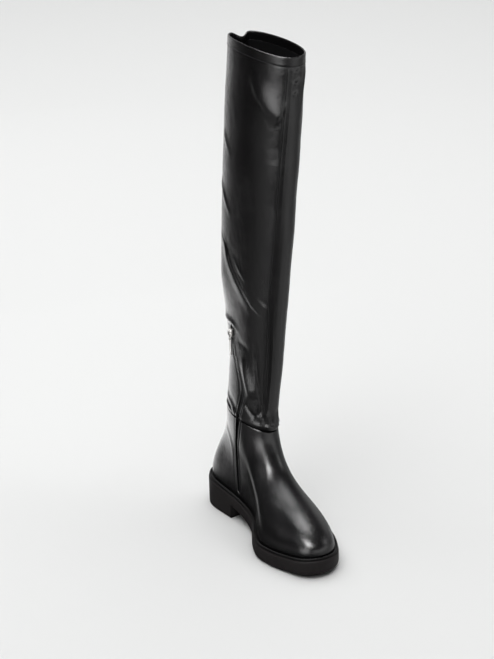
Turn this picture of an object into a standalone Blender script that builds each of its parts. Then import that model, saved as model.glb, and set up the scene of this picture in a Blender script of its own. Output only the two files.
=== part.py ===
# Thigh high boot, left foot: block-heeled flat sole, leather foot part, stretch shaft with a short inner zip.
# Metres, +Z up, the toe points to -Y, the inner (medial) side is -X.
import math

import bmesh
import bpy
import numpy as np
from mathutils import Matrix, Vector

# Sole sizes
SOLE_LENGTH = 0.2745
BALL_WIDTH = 0.1004
HEEL_WIDTH = 0.0620
HEEL_BLOCK_HEIGHT = 0.0199
HEEL_BLOCK_LENGTH = 0.0760
HEEL_BREAST_HOLLOW = 0.0040
HEEL_TIP_HEIGHT = 0.0062
SOLE_EDGE_AT_HEEL = 0.0195
SOLE_EDGE_AT_BALL = 0.0187
TOE_SWING = 0.0031
TOE_SPRING = 0.0051
ARCH_RISE = 0.0160
EDGE_ROUNDING = 0.0042
GROOVE_DEPTH = 0.0005
WELT_MARGIN = 0.0055
WELT_HEIGHT = 0.0026
INSOLE_THICKNESS = 0.0040
INSOLE_CLEARANCE = 0.0013

# Upper and shaft sizes
UPPER_WALL = 0.0020
SHAFT_WALL = 0.0015
ANKLE_DEPTH = 0.0930
ANKLE_WIDTH = 0.0535
ANKLE_BACK = 0.0140
ANKLE_SIDE_SHIFT = 0.0104
SEAM_FRONT_HEIGHT = 0.1278
SEAM_BACK_HEIGHT = 0.1390
SEAM_SIDE_TILT = 0.0055
COLLAR_DEPTH = 0.1440
COLLAR_WIDTH = 0.0720
COLLAR_HEIGHT = 0.6095
COLLAR_INNER_RISE = 0.0065
COLLAR_OUTER_DIP = 0.0030
COLLAR_BACK_DIP = 0.0050
COLLAR_FOLD = 0.0100
FRONT_LEAN = 0.0220
SIDE_LEAN = 0.0313
TUCK_DEPTH = 0.0080
SEAM_FLARE = 0.0030
STRIP_WIDTH = 0.0086
STRIP_RAISE = 0.0006
HEM_HEIGHT = 0.0110
HEM_RAISE = 0.0005
STEP_RUN = 0.0004

# Zip sizes
ZIP_FOOT_RISE = 0.0083
ZIP_TOP_HEIGHT = 0.2560
SLIT_WIDTH = 0.0068
TAPE_WIDTH = 0.0230
TAPE_THICKNESS = 0.0008
TEETH_WIDTH = 0.0040
TEETH_THICKNESS = 0.0014
SLIDER_LENGTH = 0.0100
SLIDER_WIDTH = 0.0076
SLIDER_THICKNESS = 0.0022
SLIDER_BELOW_TOP = 0.0125
BRIDGE_WIDTH = 0.0020
RING_WIDTH = 0.0070
RING_HEIGHT = 0.0100
RING_CORNER = 0.0016
RING_SWAY_DEG = 8.0
WIRE_RADIUS = 0.0006
PULL_LENGTH = 0.0210
PULL_WIDTH = 0.0042
PULL_THICKNESS = 0.0012
PULL_EYE_WIDTH = 0.0022
PULL_EYE_RIM = 0.0008
TAPE_OVERLAP = 0.0020

# Clearance between pieces that meet
GAP = 0.0003
PIVOT_GAP = 0.00035

# Numbers of columns and rows in the meshes
SOLE_COLUMNS = 64
LATERAL_COLUMNS = 28
MEDIAL_COLUMNS = 14
ANKLE_ROWS = 8
LEG_ROWS = 11
FOOT_ROWS = 14
ZIP_ROWS = 28

# Fullness of the sole's outline: half-width over the local half-width unit, against an ellipse of its length
#             station, medial, lateral
OUTLINE = [
    (0.00, 2.11, 2.11),
    (0.10, 1.62, 1.60),
    (0.20, 1.17, 1.25),
    (0.30, 0.83, 0.99),
    (0.40, 0.64, 0.85),
    (0.50, 0.66, 0.87),
    (0.60, 0.90, 0.99),
    (0.70, 1.08, 1.10),
    (0.80, 1.11, 1.13),
    (0.90, 1.12, 1.17),
    (1.00, 1.33, 1.33),
]

# Sole's top edge over its length: share of heel height kept, share of ball thickness, share of toe spring
#            station, heel, ball, spring
TOP_EDGE = [
    (0.00, 1.00, 0.00, 0.0),
    (0.14, 0.82, 0.21, 0.0),
    (0.28, 0.60, 0.45, 0.0),
    (0.40, 0.37, 0.65, 0.0),
    (0.50, 0.18, 0.83, 0.0),
    (0.60, 0.05, 0.96, 0.0),
    (0.68, 0.00, 1.00, 0.0),
    (0.82, 0.00, 1.00, 0.12),
    (0.90, 0.00, 1.00, 0.40),
    (1.00, 0.00, 1.00, 1.08),
]

# Sole's underside ahead of the heel: share of the arch rise, share of toe spring
#            station, arch, spring
UNDERSIDE = [
    (0.28, 1.00, 0.0),
    (0.36, 0.74, 0.0),
    (0.44, 0.40, 0.0),
    (0.52, 0.14, 0.0),
    (0.60, 0.00, 0.0),
    (0.80, 0.00, 0.0),
    (0.90, 0.00, 0.30),
    (1.00, 0.00, 1.00),
]

# Side wall of the sole, from the floor up: share of the wall's height, inset as a share of its rounding
WALL_PROFILE = [
    (0.00, 1.00),
    (0.07, 0.48),
    (0.17, 0.17),
    (0.32, 0.00),
    (0.86, 0.00),
    (0.95, 0.07),
    (1.00, 0.24),
]

# Welt's section, from its inner foot round its outer bead: inset as a share of its margin, share of its height
WELT_PROFILE = [
    (0.87, 0.00),
    (0.24, 0.00),
    (0.18, 0.45),
    (0.25, 0.88),
    (0.40, 1.00),
    (0.55, 0.84),
    (0.62, 0.66),
    (0.87, 0.62),
]

# Foot part, from the feather line up to the ankle seam.
# Forward share from ankle front to toe, height share from feather to seam at the front, the same at the back,
# rise of the back edge, oval share of the plan shape, inner and outer width shares, share of the sole's curve kept
#           forward, front, bulge, back, oval, medial, lateral, curve
FOOT = [
    (1.000, 0.000, 0.000, 0.000, 0.00, 1.000, 1.000, 1.00),
    (1.006, 0.060, 0.035, 0.070, 0.00, 1.008, 1.006, 0.93),
    (0.985, 0.135, 0.060, 0.145, 0.04, 0.995, 0.975, 0.82),
    (0.925, 0.210, 0.040, 0.225, 0.12, 0.960, 0.905, 0.66),
    (0.825, 0.280, -0.010, 0.310, 0.26, 0.925, 0.835, 0.48),
    (0.690, 0.340, -0.110, 0.400, 0.46, 0.915, 0.775, 0.32),
    (0.530, 0.395, -0.260, 0.495, 0.66, 0.915, 0.755, 0.18),
    (0.360, 0.470, -0.440, 0.600, 0.82, 0.930, 0.780, 0.09),
    (0.205, 0.575, -0.630, 0.715, 0.92, 0.960, 0.855, 0.03),
    (0.098, 0.712, -0.790, 0.825, 0.98, 0.985, 0.925, 0.00),
    (0.032, 0.862, -0.910, 0.920, 1.00, 1.000, 0.980, 0.00),
    (0.000, 1.000, -1.000, 1.000, 1.00, 1.000, 1.000, 0.00),
]

# Shaft over its height: growth in depth and width from ankle to collar, forward lean, side lean
#            height, depth, width, front, side
SHAFT = [
    (0.00, 0.00, 0.00, 0.00, 0.00),
    (0.05, -0.06, 0.00, -0.05, 0.04),
    (0.10, -0.03, 0.02, -0.07, 0.14),
    (0.15, 0.09, 0.01, -0.01, 0.24),
    (0.21, 0.29, 0.06, 0.07, 0.33),
    (0.27, 0.52, 0.25, 0.16, 0.38),
    (0.35, 0.76, 0.46, 0.27, 0.45),
    (0.43, 0.91, 0.50, 0.36, 0.55),
    (0.52, 0.97, 0.61, 0.48, 0.64),
    (0.61, 0.99, 0.79, 0.57, 0.71),
    (0.69, 0.99, 0.92, 0.66, 0.77),
    (0.77, 0.98, 0.99, 0.75, 0.83),
    (0.86, 1.00, 1.00, 0.86, 0.90),
    (1.00, 1.00, 0.98, 1.00, 1.00),
]

# Front strip over the shaft's height: turn round the section, in turns
#             height, turn
STRIP_LINE = [
    (0.00, -0.036),
    (0.08, -0.019),
    (0.25, -0.024),
    (0.50, -0.022),
    (0.75, -0.030),
    (1.00, -0.043),
]

# Zip over the height, as a share of its own length from bottom to top: turn round the section, in turns
#           along, turn
ZIP_LINE = [
    (0.00, 0.693),
    (0.14, 0.693),
    (0.21, 0.703),
    (0.28, 0.729),
    (0.35, 0.759),
    (0.43, 0.781),
    (0.51, 0.791),
    (0.58, 0.807),
    (0.63, 0.810),
    (0.70, 0.791),
    (0.77, 0.757),
    (0.85, 0.725),
    (0.93, 0.713),
    (1.00, 0.722),
]


def smooth(x, table, column):
    """Value of a table's column at x, on a smooth curve through its rows."""
    xs = [row[0] for row in table]
    ys = [row[column] for row in table]
    x = min(max(x, xs[0]), xs[-1])
    i = min(max(int(np.searchsorted(xs, x)) - 1, 0), len(xs) - 2)
    h = xs[i + 1] - xs[i]
    u = (x - xs[i]) / h

    def slope(k):
        if k == 0:
            return (ys[1] - ys[0]) / (xs[1] - xs[0])
        if k == len(xs) - 1:
            return (ys[-1] - ys[-2]) / (xs[-1] - xs[-2])
        return (ys[k + 1] - ys[k - 1]) / (xs[k + 1] - xs[k - 1])

    a, b = slope(i) * h, slope(i + 1) * h
    return (
        ys[i] * (1 + 2 * u) * (1 - u) ** 2
        + a * u * (1 - u) ** 2
        + ys[i + 1] * u * u * (3 - 2 * u)
        + b * u * u * (u - 1)
    )


def mix(a, b, share):
    return a + (b - a) * share


def ease(x, low, high):
    u = min(max((x - low) / (high - low), 0.0), 1.0)
    return u * u * (3 - 2 * u)


# The sole's outline, edge and underside

HEEL_BACK = HEEL_BLOCK_LENGTH / 2
TOE_TIP = HEEL_BACK - SOLE_LENGTH


def station(turn):
    """Share of the length from heel to toe at a turn round a loop: 0 turns is the toe, half a turn the heel."""
    return (1 + math.cos(2 * math.pi * turn)) / 2


def width_unit(s):
    return mix(HEEL_WIDTH, BALL_WIDTH, ease(s, 0.15, 0.70)) / 2


def toe_swing(s):
    return TOE_SWING * max(2 * s - 1, 0) ** 2


def fullness(turn):
    side = 1 if math.sin(2 * math.pi * turn) < 0 else 2
    return smooth(station(turn), OUTLINE, side)


def edge_point(turn):
    """Plan point on the sole's edge."""
    s = station(turn)
    x = math.sin(2 * math.pi * turn) * fullness(turn) * width_unit(s) - toe_swing(s)
    return x, HEEL_BACK - SOLE_LENGTH * s


def inset_point(turn, inset):
    """Plan point inside the sole's edge, at a distance square to it."""
    x, y = edge_point(turn)
    ax, ay = edge_point(turn - 0.004)
    bx, by = edge_point(turn + 0.004)
    length = math.hypot(bx - ax, by - ay)
    return x - (by - ay) / length * inset, y + (bx - ax) / length * inset


def outline(columns, inset=0.0):
    """Loop of plan points round the sole, moved inwards by a distance."""
    return [inset_point(i / columns, inset) for i in range(columns)]


def sole_station(y):
    return (HEEL_BACK - y) / SOLE_LENGTH


def sole_top(y):
    s = min(max(sole_station(y), 0.0), 1.0)
    heel = HEEL_BLOCK_HEIGHT + SOLE_EDGE_AT_HEEL
    return (
        heel * smooth(s, TOP_EDGE, 1)
        + SOLE_EDGE_AT_BALL * smooth(s, TOP_EDGE, 2)
        + TOE_SPRING * smooth(s, TOP_EDGE, 3)
    )


def heel_seat(y):
    """Plane between the heel block and the sole: it falls a little towards the breast."""
    fall = (HEEL_BLOCK_HEIGHT - ARCH_RISE) / HEEL_BLOCK_LENGTH
    return HEEL_BLOCK_HEIGHT - fall * (HEEL_BACK - y)


def sole_underside(y):
    s = min(max(sole_station(y), 0.0), 1.0)
    if y > HEEL_BACK - HEEL_BLOCK_LENGTH:
        return heel_seat(y)
    rise = ARCH_RISE * smooth(s, UNDERSIDE, 1) + TOE_SPRING * smooth(s, UNDERSIDE, 2)
    return max(rise, 0.0)


# Foot part and shaft

FEATHER_BACK = HEEL_BACK - WELT_MARGIN
FEATHER_TOE = TOE_TIP + WELT_MARGIN
ANKLE_FRONT = ANKLE_BACK - ANKLE_DEPTH


def seam_height(turn):
    level = mix(SEAM_BACK_HEIGHT, SEAM_FRONT_HEIGHT, station(turn))
    return level - SEAM_SIDE_TILT * math.sin(2 * math.pi * turn)


def foot_point(share, turn):
    """Point on the foot part's outer face: share 0 is the feather line, 1 the ankle seam."""
    table = [(i / (len(FOOT) - 1),) + row for i, row in enumerate(FOOT)]
    forward, front, bulge, back, oval, medial, lateral, curve = (smooth(share, table, c) for c in range(1, 9))
    s = station(turn)
    sine = math.sin(2 * math.pi * turn)
    y_front = mix(ANKLE_FRONT, FEATHER_TOE, forward)
    y_back = FEATHER_BACK + (FEATHER_BACK - ANKLE_BACK) * bulge
    y = mix(y_back, y_front, s)
    width = medial if sine < 0 else lateral
    feather_x, feather_y = inset_point(turn, WELT_MARGIN)
    foot_half = (feather_x + toe_swing(s)) * width
    oval_half = sine * ANKLE_WIDTH / 2 * width
    x = mix(foot_half, oval_half, oval) + mix(-toe_swing(s), ANKLE_SIDE_SHIFT, oval)
    y += (feather_y - mix(FEATHER_BACK, FEATHER_TOE, s)) * (1 - oval)
    low_front = sole_top(FEATHER_TOE) + GAP
    low_back = sole_top(FEATHER_BACK) + GAP
    z_front = mix(low_front, SEAM_FRONT_HEIGHT, front)
    z_back = mix(low_back, SEAM_BACK_HEIGHT, back)
    sag = sole_top(feather_y) + GAP - mix(low_back, low_front, s)
    tilt = (seam_height(turn) - mix(SEAM_BACK_HEIGHT, SEAM_FRONT_HEIGHT, s)) * max(mix(front, back, 1 - s), 0) ** 2
    return Vector((x, y, mix(z_back, z_front, s) + sag * curve + tilt))


def back_seam(turn):
    """Share of the back seam's fold at a turn: 1 on the seam, 0 away from it."""
    return math.exp(-(((turn % 1) - 0.5) / 0.035) ** 2)


def collar_height(turn):
    sine = math.sin(2 * math.pi * turn)
    wave = COLLAR_INNER_RISE * min(sine, 0) ** 2 - COLLAR_OUTER_DIP * max(sine, 0) ** 2
    return COLLAR_HEIGHT + wave - COLLAR_BACK_DIP * back_seam(turn)


def shaft_point(height, turn):
    """Point on the shaft's outer face: height 0 is the ankle seam, 1 the collar."""
    depth = mix(ANKLE_DEPTH, COLLAR_DEPTH, smooth(height, SHAFT, 1))
    width = mix(ANKLE_WIDTH, COLLAR_WIDTH, smooth(height, SHAFT, 2))
    front = ANKLE_FRONT - FRONT_LEAN * smooth(height, SHAFT, 3)
    middle = ANKLE_SIDE_SHIFT + SIDE_LEAN * smooth(height, SHAFT, 4)
    angle = 2 * math.pi * turn
    x = middle + math.sin(angle) * width / 2
    fold = COLLAR_FOLD * back_seam(turn) * ease(height, 0.72, 1.0)
    y = front + depth * (1 - station(turn)) - fold
    return Vector((x, y, mix(seam_height(turn), collar_height(turn), height)))


def outward(surface, share, turn):
    """Unit normal of a wall's outer face."""
    low = max(share - 0.004, 0.0)
    high = min(share + 0.004, 1.0)
    along = surface(high, turn) - surface(low, turn)
    across = surface(share, turn + 0.003) - surface(share, turn - 0.003)
    return across.cross(along).normalized()


def offset_point(surface, share, turn, distance):
    return surface(share, turn) + outward(surface, share, turn) * distance


def turn_step(surface, share, turn, width):
    """Turn that a width takes up on the wall at a place."""
    reach = (surface(share, turn + 0.005) - surface(share, turn - 0.005)).length
    return width / reach * 0.01


# Zip line: one height axis for foot part and shaft

ZIP_BOTTOM_HEIGHT = foot_point(0.0, ZIP_LINE[0][1]).z + ZIP_FOOT_RISE


def share_at_height(surface, z, turn):
    low, high = 0.0, 1.0
    for _ in range(40):
        middle = (low + high) / 2
        if surface(middle, turn).z < z:
            low = middle
        else:
            high = middle
    return (low + high) / 2


def zip_turn(z):
    along = (z - ZIP_BOTTOM_HEIGHT) / (ZIP_TOP_HEIGHT - ZIP_BOTTOM_HEIGHT)
    return smooth(along, ZIP_LINE, 1)


def column_turns(surface, share, strip_turn, strip_half):
    """Turns of a row's columns, from the strip round the outer side and the back to the zip and on."""
    centre = ZIP_LINE[0][1]
    for _ in range(6):
        centre = zip_turn(surface(share, centre).z)
    slit = turn_step(surface, share, centre, SLIT_WIDTH / 2)
    start = strip_turn + strip_half
    turns = list(np.linspace(start, centre - slit, LATERAL_COLUMNS))
    turns += list(np.linspace(centre + slit, 1 + strip_turn - strip_half, MEDIAL_COLUMNS))
    return turns


def new_object(name, mesh, material, collection):
    piece = bpy.data.objects.new(name, mesh)
    piece.data.materials.append(material)
    collection.objects.link(piece)
    return piece


def material(name, color, roughness, metallic=0.0):
    finish = bpy.data.materials.new(name)
    finish.use_nodes = True
    shader = finish.node_tree.nodes["Principled BSDF"]
    shader.inputs["Base Color"].default_value = (*color, 1)
    shader.inputs["Roughness"].default_value = roughness
    shader.inputs["Metallic"].default_value = metallic
    return finish


def mesh_from(name, build):
    bm = bmesh.new()
    build(bm)
    mesh = bpy.data.meshes.new(name)
    bm.to_mesh(mesh)
    bm.free()
    mesh.shade_smooth()
    mesh.set_sharp_from_angle(angle=math.radians(38))
    return mesh


def add_ring(bm, points):
    return [bm.verts.new(p) for p in points]


def bridge(bm, low, high, closed=True):
    """Side faces between two rows of vertices."""
    count = len(low)
    for i in range(count if closed else count - 1):
        j = (i + 1) % count
        bm.faces.new((low[i], low[j], high[j], high[i]))


def ladder(bm, ring, upwards):
    """Cap of a loop that is even about its middle: strips from side to side."""
    count = len(ring)
    for i in range(count // 2):
        face = [ring[i], ring[i + 1], ring[-i - 1], ring[-i]] if i else [ring[0], ring[1], ring[-1]]
        if i == count // 2 - 1:
            face = [ring[i], ring[i + 1], ring[-i]]
        bm.faces.new(face if upwards else face[::-1])


def outsole(finish, collection):
    def build(bm):
        rings = []
        for share, inset in WALL_PROFILE:
            loop = outline(SOLE_COLUMNS, inset * EDGE_ROUNDING)
            ring = [(x, y, mix(sole_underside(y), sole_top(y), share)) for x, y in loop]
            rings.append(add_ring(bm, ring))
        for low, high in zip(rings, rings[1:]):
            bridge(bm, low, high)
        ladder(bm, rings[0], False)
        ladder(bm, rings[-1], True)

    return new_object("outsole", mesh_from("outsole", build), finish, collection)


def heel_loop(inset):
    """Plan loop of the heel block: the sole's outline at the rear, closed by the hollow breast."""
    breast = HEEL_BACK - HEEL_BLOCK_LENGTH + GAP
    whole = outline(SOLE_COLUMNS * 2, inset)
    rear = [(x, y) for x, y in whole[: SOLE_COLUMNS + 1] if y > breast + 0.0006]
    rear += [(x, y) for x, y in whole[SOLE_COLUMNS + 1:] if y > breast + 0.0006]
    half_first, half_last = rear[0][0], rear[-1][0]
    loop = list(rear)
    for share in np.linspace(0, 1, 13):
        x = mix(half_last, half_first, share)
        loop.append((x, breast + HEEL_BREAST_HOLLOW * math.sin(math.pi * share)))
    return loop


def heel(finish, collection):
    tip = HEEL_TIP_HEIGHT
    rows = [
        (0.0, 0.0022),
        (0.0007, 0.0014),
        (0.0016, 0.0011),
        (tip - 0.0005, 0.0010),
        (tip - 0.0004, 0.0010 + GROOVE_DEPTH),
        (tip + 0.0004, 0.0010 + GROOVE_DEPTH),
        (tip + 0.0005, 0.0009),
    ]

    def build(bm):
        rings = [add_ring(bm, [(x, y, z) for x, y in heel_loop(inset)]) for z, inset in rows]
        for below, inset in ((0.0010, 0.0006), (GAP, 0.0006 + GROOVE_DEPTH)):
            rings.append(add_ring(bm, [(x, y, heel_seat(y) - below) for x, y in heel_loop(inset)]))
        for low, high in zip(rings, rings[1:]):
            bridge(bm, low, high)
        bm.faces.new(rings[0][::-1])
        bm.faces.new(rings[-1])

    return new_object("heel", mesh_from("heel", build), finish, collection)


def welt(finish, collection):
    def build(bm):
        rings = []
        for inset, share in WELT_PROFILE:
            loop = outline(SOLE_COLUMNS, inset * WELT_MARGIN)
            rings.append(add_ring(bm, [(x, y, sole_top(y) + GAP + WELT_HEIGHT * share) for x, y in loop]))
        for low, high in zip(rings, rings[1:] + rings[:1]):
            bridge(bm, low, high)

    return new_object("welt", mesh_from("welt", build), finish, collection)


def insole(finish, collection):
    margin = WELT_MARGIN + UPPER_WALL + INSOLE_CLEARANCE

    def build(bm):
        rings = []
        for rise, extra in ((0.0, 0.0005), (0.25, 0.0), (0.8, 0.0002), (1.0, 0.0010)):
            loop = outline(SOLE_COLUMNS, margin + extra)
            rings.append(add_ring(bm, [(x, y, sole_top(y) + GAP + INSOLE_THICKNESS * rise) for x, y in loop]))
        for low, high in zip(rings, rings[1:]):
            bridge(bm, low, high)
        ladder(bm, rings[0], False)
        ladder(bm, rings[-1], True)

    return new_object("insole", mesh_from("insole", build), finish, collection)


def shell(piece, thickness):
    wall = piece.modifiers.new("wall", "SOLIDIFY")
    wall.thickness = thickness
    wall.offset = -1
    wall.use_rim = True
    wall.use_quality_normals = True
    return piece


def upper(finish, collection):
    """Foot part: one wall from the feather line to the ankle seam, slit on the inner side for the zip."""
    slit_column = LATERAL_COLUMNS - 1

    def build(bm):
        shares = [k / FOOT_ROWS for k in range(FOOT_ROWS + 1)]
        slit_share = share_at_height(foot_point, ZIP_BOTTOM_HEIGHT, ZIP_LINE[0][1])
        nearest = min(range(1, FOOT_ROWS), key=lambda k: abs(shares[k] - slit_share))
        shares[nearest] = slit_share
        rings = []
        for share in shares:
            turns = column_turns(foot_point, share, 0.0, 0.0)[:-1]
            rings.append(add_ring(bm, [foot_point(share, turn) for turn in turns]))
        for k, (low, high) in enumerate(zip(rings, rings[1:])):
            count = len(low)
            for i in range(count):
                if i == slit_column and k >= nearest:
                    continue
                j = (i + 1) % count
                bm.faces.new((low[i], low[j], high[j], high[i]))

    return shell(new_object("upper", mesh_from("upper", build), finish, collection), UPPER_WALL)


def shaft_rows():
    """Heights of the shaft's rows, with rows at the slider, at the zip's top and at the step of the hem."""
    span = COLLAR_HEIGHT - SEAM_FRONT_HEIGHT
    hem = 1 - HEM_HEIGHT / span
    slider_height = ZIP_TOP_HEIGHT - SLIDER_BELOW_TOP
    slider_row = share_at_height(shaft_point, slider_height, zip_turn(slider_height))
    zip_top = share_at_height(shaft_point, ZIP_TOP_HEIGHT, zip_turn(ZIP_TOP_HEIGHT))
    low = [*np.linspace(SEAM_FLARE / span, slider_row, ANKLE_ROWS), zip_top]
    high = np.linspace(zip_top, hem - STEP_RUN / span, LEG_ROWS)
    return low, [*high[1:], hem, 1.0], hem


def shaft(finish, collection):
    """Shaft: one wall tucked into the foot part, with the raised front strip and the hem as steps."""
    slit_column = LATERAL_COLUMNS + 1
    low_rows, high_rows, hem = shaft_rows()

    def row_turns(surface, share, strip_share):
        centre = smooth(strip_share, STRIP_LINE, 1)
        half = turn_step(surface, share, centre, STRIP_WIDTH / 2)
        run = turn_step(surface, share, centre, STEP_RUN)
        sides = column_turns(surface, share, centre, half + run)
        return [centre - half, centre + half] + sides

    def build(bm):
        tuck = share_at_height(foot_point, SEAM_FRONT_HEIGHT - TUCK_DEPTH, 0.0)
        inside = -(UPPER_WALL + GAP)
        rings = []
        for share, lift in ((tuck, 0.0), (1.0, 0.0002)):
            turns = row_turns(foot_point, share, 0.0)
            points = [offset_point(foot_point, share, turn, inside) for turn in turns]
            rings.append(add_ring(bm, [p + Vector((0, 0, lift)) for p in points]))
        for share in low_rows + high_rows:
            turns = row_turns(shaft_point, share, share)
            raise_hem = HEM_RAISE if share >= hem else 0.0
            points = []
            for i, turn in enumerate(turns):
                raise_strip = STRIP_RAISE * ease(share, 0.0, 0.05) if i < 2 else 0.0
                points.append(offset_point(shaft_point, share, turn, max(raise_strip, raise_hem)))
            rings.append(add_ring(bm, points))
        slit_end = 1 + len(low_rows)
        for k, (low, high) in enumerate(zip(rings, rings[1:])):
            count = len(low)
            for i in range(count):
                if i == slit_column and k < slit_end:
                    continue
                j = (i + 1) % count
                bm.faces.new((low[i], low[j], high[j], high[i]))

    return shell(new_object("shaft", mesh_from("shaft", build), finish, collection), SHAFT_WALL)


# Zip

def zip_surface(z):
    """Wall that carries the zip at a height, with its share there and the turn of the zip's line."""
    turn = zip_turn(z)
    seam = seam_height(turn)
    if z < seam:
        return foot_point, share_at_height(foot_point, z, turn), turn
    return shaft_point, share_at_height(shaft_point, z, turn), turn


def tape_foot():
    """Lowest height at which the tape clears the insole along its rear edge."""
    rear = zip_frame(ZIP_BOTTOM_HEIGHT)[0].y + TAPE_WIDTH / 2
    return max(ZIP_BOTTOM_HEIGHT - TAPE_OVERLAP, sole_top(rear) + INSOLE_THICKNESS + 2 * GAP)


def teeth_depth(z):
    """Depth of the outer face of the row of teeth, which lies on the tape."""
    return tape_depth(z) - TEETH_THICKNESS - GAP


def tape_depth(z):
    """Depth of the tape's outer face below the wall's outer face."""
    seam = seam_height(zip_turn(z))
    below = UPPER_WALL + 2 * GAP
    tucked = UPPER_WALL + SHAFT_WALL + 3 * GAP
    above = SHAFT_WALL + 2 * GAP
    if z < seam:
        return mix(below, tucked, ease(z, seam - TUCK_DEPTH - 0.008, seam - TUCK_DEPTH - 0.002))
    return mix(tucked, above, ease(z, seam + 0.001, seam + 0.009))


def zip_frame(z):
    """Place on the wall's outer face on the zip's line, with its outward and fore-aft directions."""
    surface, share, turn = zip_surface(z)
    place = surface(share, turn)
    out = outward(surface, share, turn)
    side = (surface(share, turn + 0.003) - surface(share, turn - 0.003)).normalized()
    return place, out, side


def zip_strip(name, width, thickness, depth_of, ends, finish, collection):
    """Flat strip along the zip's line: its outer face lies at a depth below the wall's outer face."""
    def build(bm):
        rings = []
        for z in np.linspace(*ends, ZIP_ROWS):
            surface, share, turn = zip_surface(z)
            half = turn_step(surface, share, turn, width / 2)
            depth = depth_of(z)
            outer = [offset_point(surface, share, turn + half * k, -depth) for k in (-1, 0, 1)]
            inner = [offset_point(surface, share, turn + half * k, -depth - thickness) for k in (1, 0, -1)]
            rings.append(add_ring(bm, outer + inner))
        for below, above in zip(rings, rings[1:]):
            bridge(bm, below, above)
        bm.faces.new(rings[0][::-1])
        bm.faces.new(rings[-1])

    return new_object(name, mesh_from(name, build), finish, collection)


def slider_place():
    """Frame on the wall at the slider: columns are fore-aft, up the zip, and outward."""
    place, out, side = zip_frame(ZIP_TOP_HEIGHT - SLIDER_BELOW_TOP)
    up = out.cross(side).normalized()
    frame = Matrix((side, up, out)).transposed().to_4x4()
    frame.translation = place
    return frame


def block(name, size, centre, round_edge=0.0):
    """Box with rounded edges about its own centre."""
    def build(bm):
        bmesh.ops.create_cube(bm, size=1.0)
        bmesh.ops.scale(bm, vec=size, verts=bm.verts)
        if round_edge:
            edges = list(bm.edges)
            bmesh.ops.bevel(bm, geom=edges, offset=round_edge, segments=2, profile=0.5, affect="EDGES")
        bmesh.ops.translate(bm, vec=centre, verts=bm.verts)

    return mesh_from(name, build)


def tube(name, points, radius, cyclic):
    """Round wire through points, as a closed mesh."""
    line = bpy.data.curves.new(name, "CURVE")
    line.dimensions = "3D"
    line.bevel_depth = radius
    line.bevel_resolution = 2
    line.use_fill_caps = True
    spline = line.splines.new("POLY")
    spline.points.add(len(points) - 1)
    for point, place in zip(spline.points, points):
        point.co = (*place, 1)
    spline.use_cyclic_u = cyclic
    guide = bpy.data.objects.new(name + "_line", line)
    bpy.context.scene.collection.objects.link(guide)
    graph = bpy.context.evaluated_depsgraph_get()
    mesh = bpy.data.meshes.new_from_object(guide.evaluated_get(graph))
    bpy.data.objects.remove(guide, do_unlink=True)
    bm = bmesh.new()
    bm.from_mesh(mesh)
    bmesh.ops.remove_doubles(bm, verts=bm.verts, dist=1e-6)
    bmesh.ops.recalc_face_normals(bm, faces=bm.faces)
    bm.to_mesh(mesh)
    bm.free()
    mesh.shade_smooth()
    return mesh


def join_with(piece, mesh, cutters, place, operation="UNION"):
    """Boolean of a piece with another mesh in the same frame, kept hidden among the cutters."""
    tool = bpy.data.objects.new(piece.name + "_tool", mesh)
    tool.hide_render = True
    tool.display_type = "WIRE"
    tool.matrix_world = place
    cutters.objects.link(tool)
    cut = piece.modifiers.new("join", "BOOLEAN")
    cut.operation = operation
    cut.object = tool


def pivot_rise():
    """Height of the ring's axis over the wall: the ring's wire lies on the slider's top with its clearance."""
    return GAP + SLIDER_THICKNESS + PIVOT_GAP + WIRE_RADIUS


def zip_slider(finish, collection, cutters):
    """Slider: a plate on the wall, a keel down to the teeth, and a bridge over the ring's upper wire."""
    place = slider_place()
    middle = GAP + SLIDER_THICKNESS / 2
    body = block("zip_slider", (SLIDER_WIDTH, SLIDER_LENGTH, SLIDER_THICKNESS), (0, 0, middle), 0.0006)
    slider = new_object("zip_slider", body, finish, collection)
    foot = GAP - teeth_depth(ZIP_TOP_HEIGHT - SLIDER_BELOW_TOP)
    keel = block("slider_keel", (TEETH_WIDTH, SLIDER_LENGTH * 0.8, middle - foot), (0, 0, (middle + foot) / 2))
    join_with(slider, keel, cutters, place)
    top = pivot_rise() + WIRE_RADIUS + PIVOT_GAP + BRIDGE_WIDTH / 2
    end = SLIDER_LENGTH / 2 - BRIDGE_WIDTH / 2 - 0.0004
    corner = BRIDGE_WIDTH / 2
    path = [(0, -end, middle), (0, -end, top - corner), (0, 0.3 * corner - end, top - 0.3 * corner)]
    path += [(0, corner - end, top)]
    path += [(0, -y, z) for _, y, z in reversed(path)]
    join_with(slider, tube("slider_bridge", path, BRIDGE_WIDTH / 2, False), cutters, place)
    return hang_on(slider, place)


def ring_place():
    """Frame of the ring and the tab: the slider's frame on their pivot, turned by the ring's sway."""
    sway = Matrix.Rotation(math.radians(RING_SWAY_DEG), 4, "Z")
    return slider_place() @ Matrix.Translation((0, 0, pivot_rise())) @ sway


def ring_path():
    """Centre line of the ring: a rounded rectangle that hangs from its axis."""
    half = RING_WIDTH / 2 - WIRE_RADIUS
    drop = RING_HEIGHT - 2 * WIRE_RADIUS
    points = []
    corners = [(1, 0, 90), (-1, 0, 180), (-1, 1, 270), (1, 1, 360)]
    for side, low, start in corners:
        cx = side * (half - RING_CORNER)
        cy = -drop + RING_CORNER if low else -RING_CORNER
        for step in range(5):
            angle = math.radians(start - 90 + 90 * step / 4)
            points.append((cx + RING_CORNER * math.cos(angle), cy + RING_CORNER * math.sin(angle), 0))
    return points


def hang_on(piece, place):
    """Give a piece modelled about its joint's axis its place there, so that its origin is on the axis."""
    piece.matrix_world = place
    return piece


def zip_ring(finish, collection):
    wire = tube("zip_ring", ring_path(), WIRE_RADIUS, True)
    return hang_on(new_object("zip_ring", wire, finish, collection), ring_place())


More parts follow.
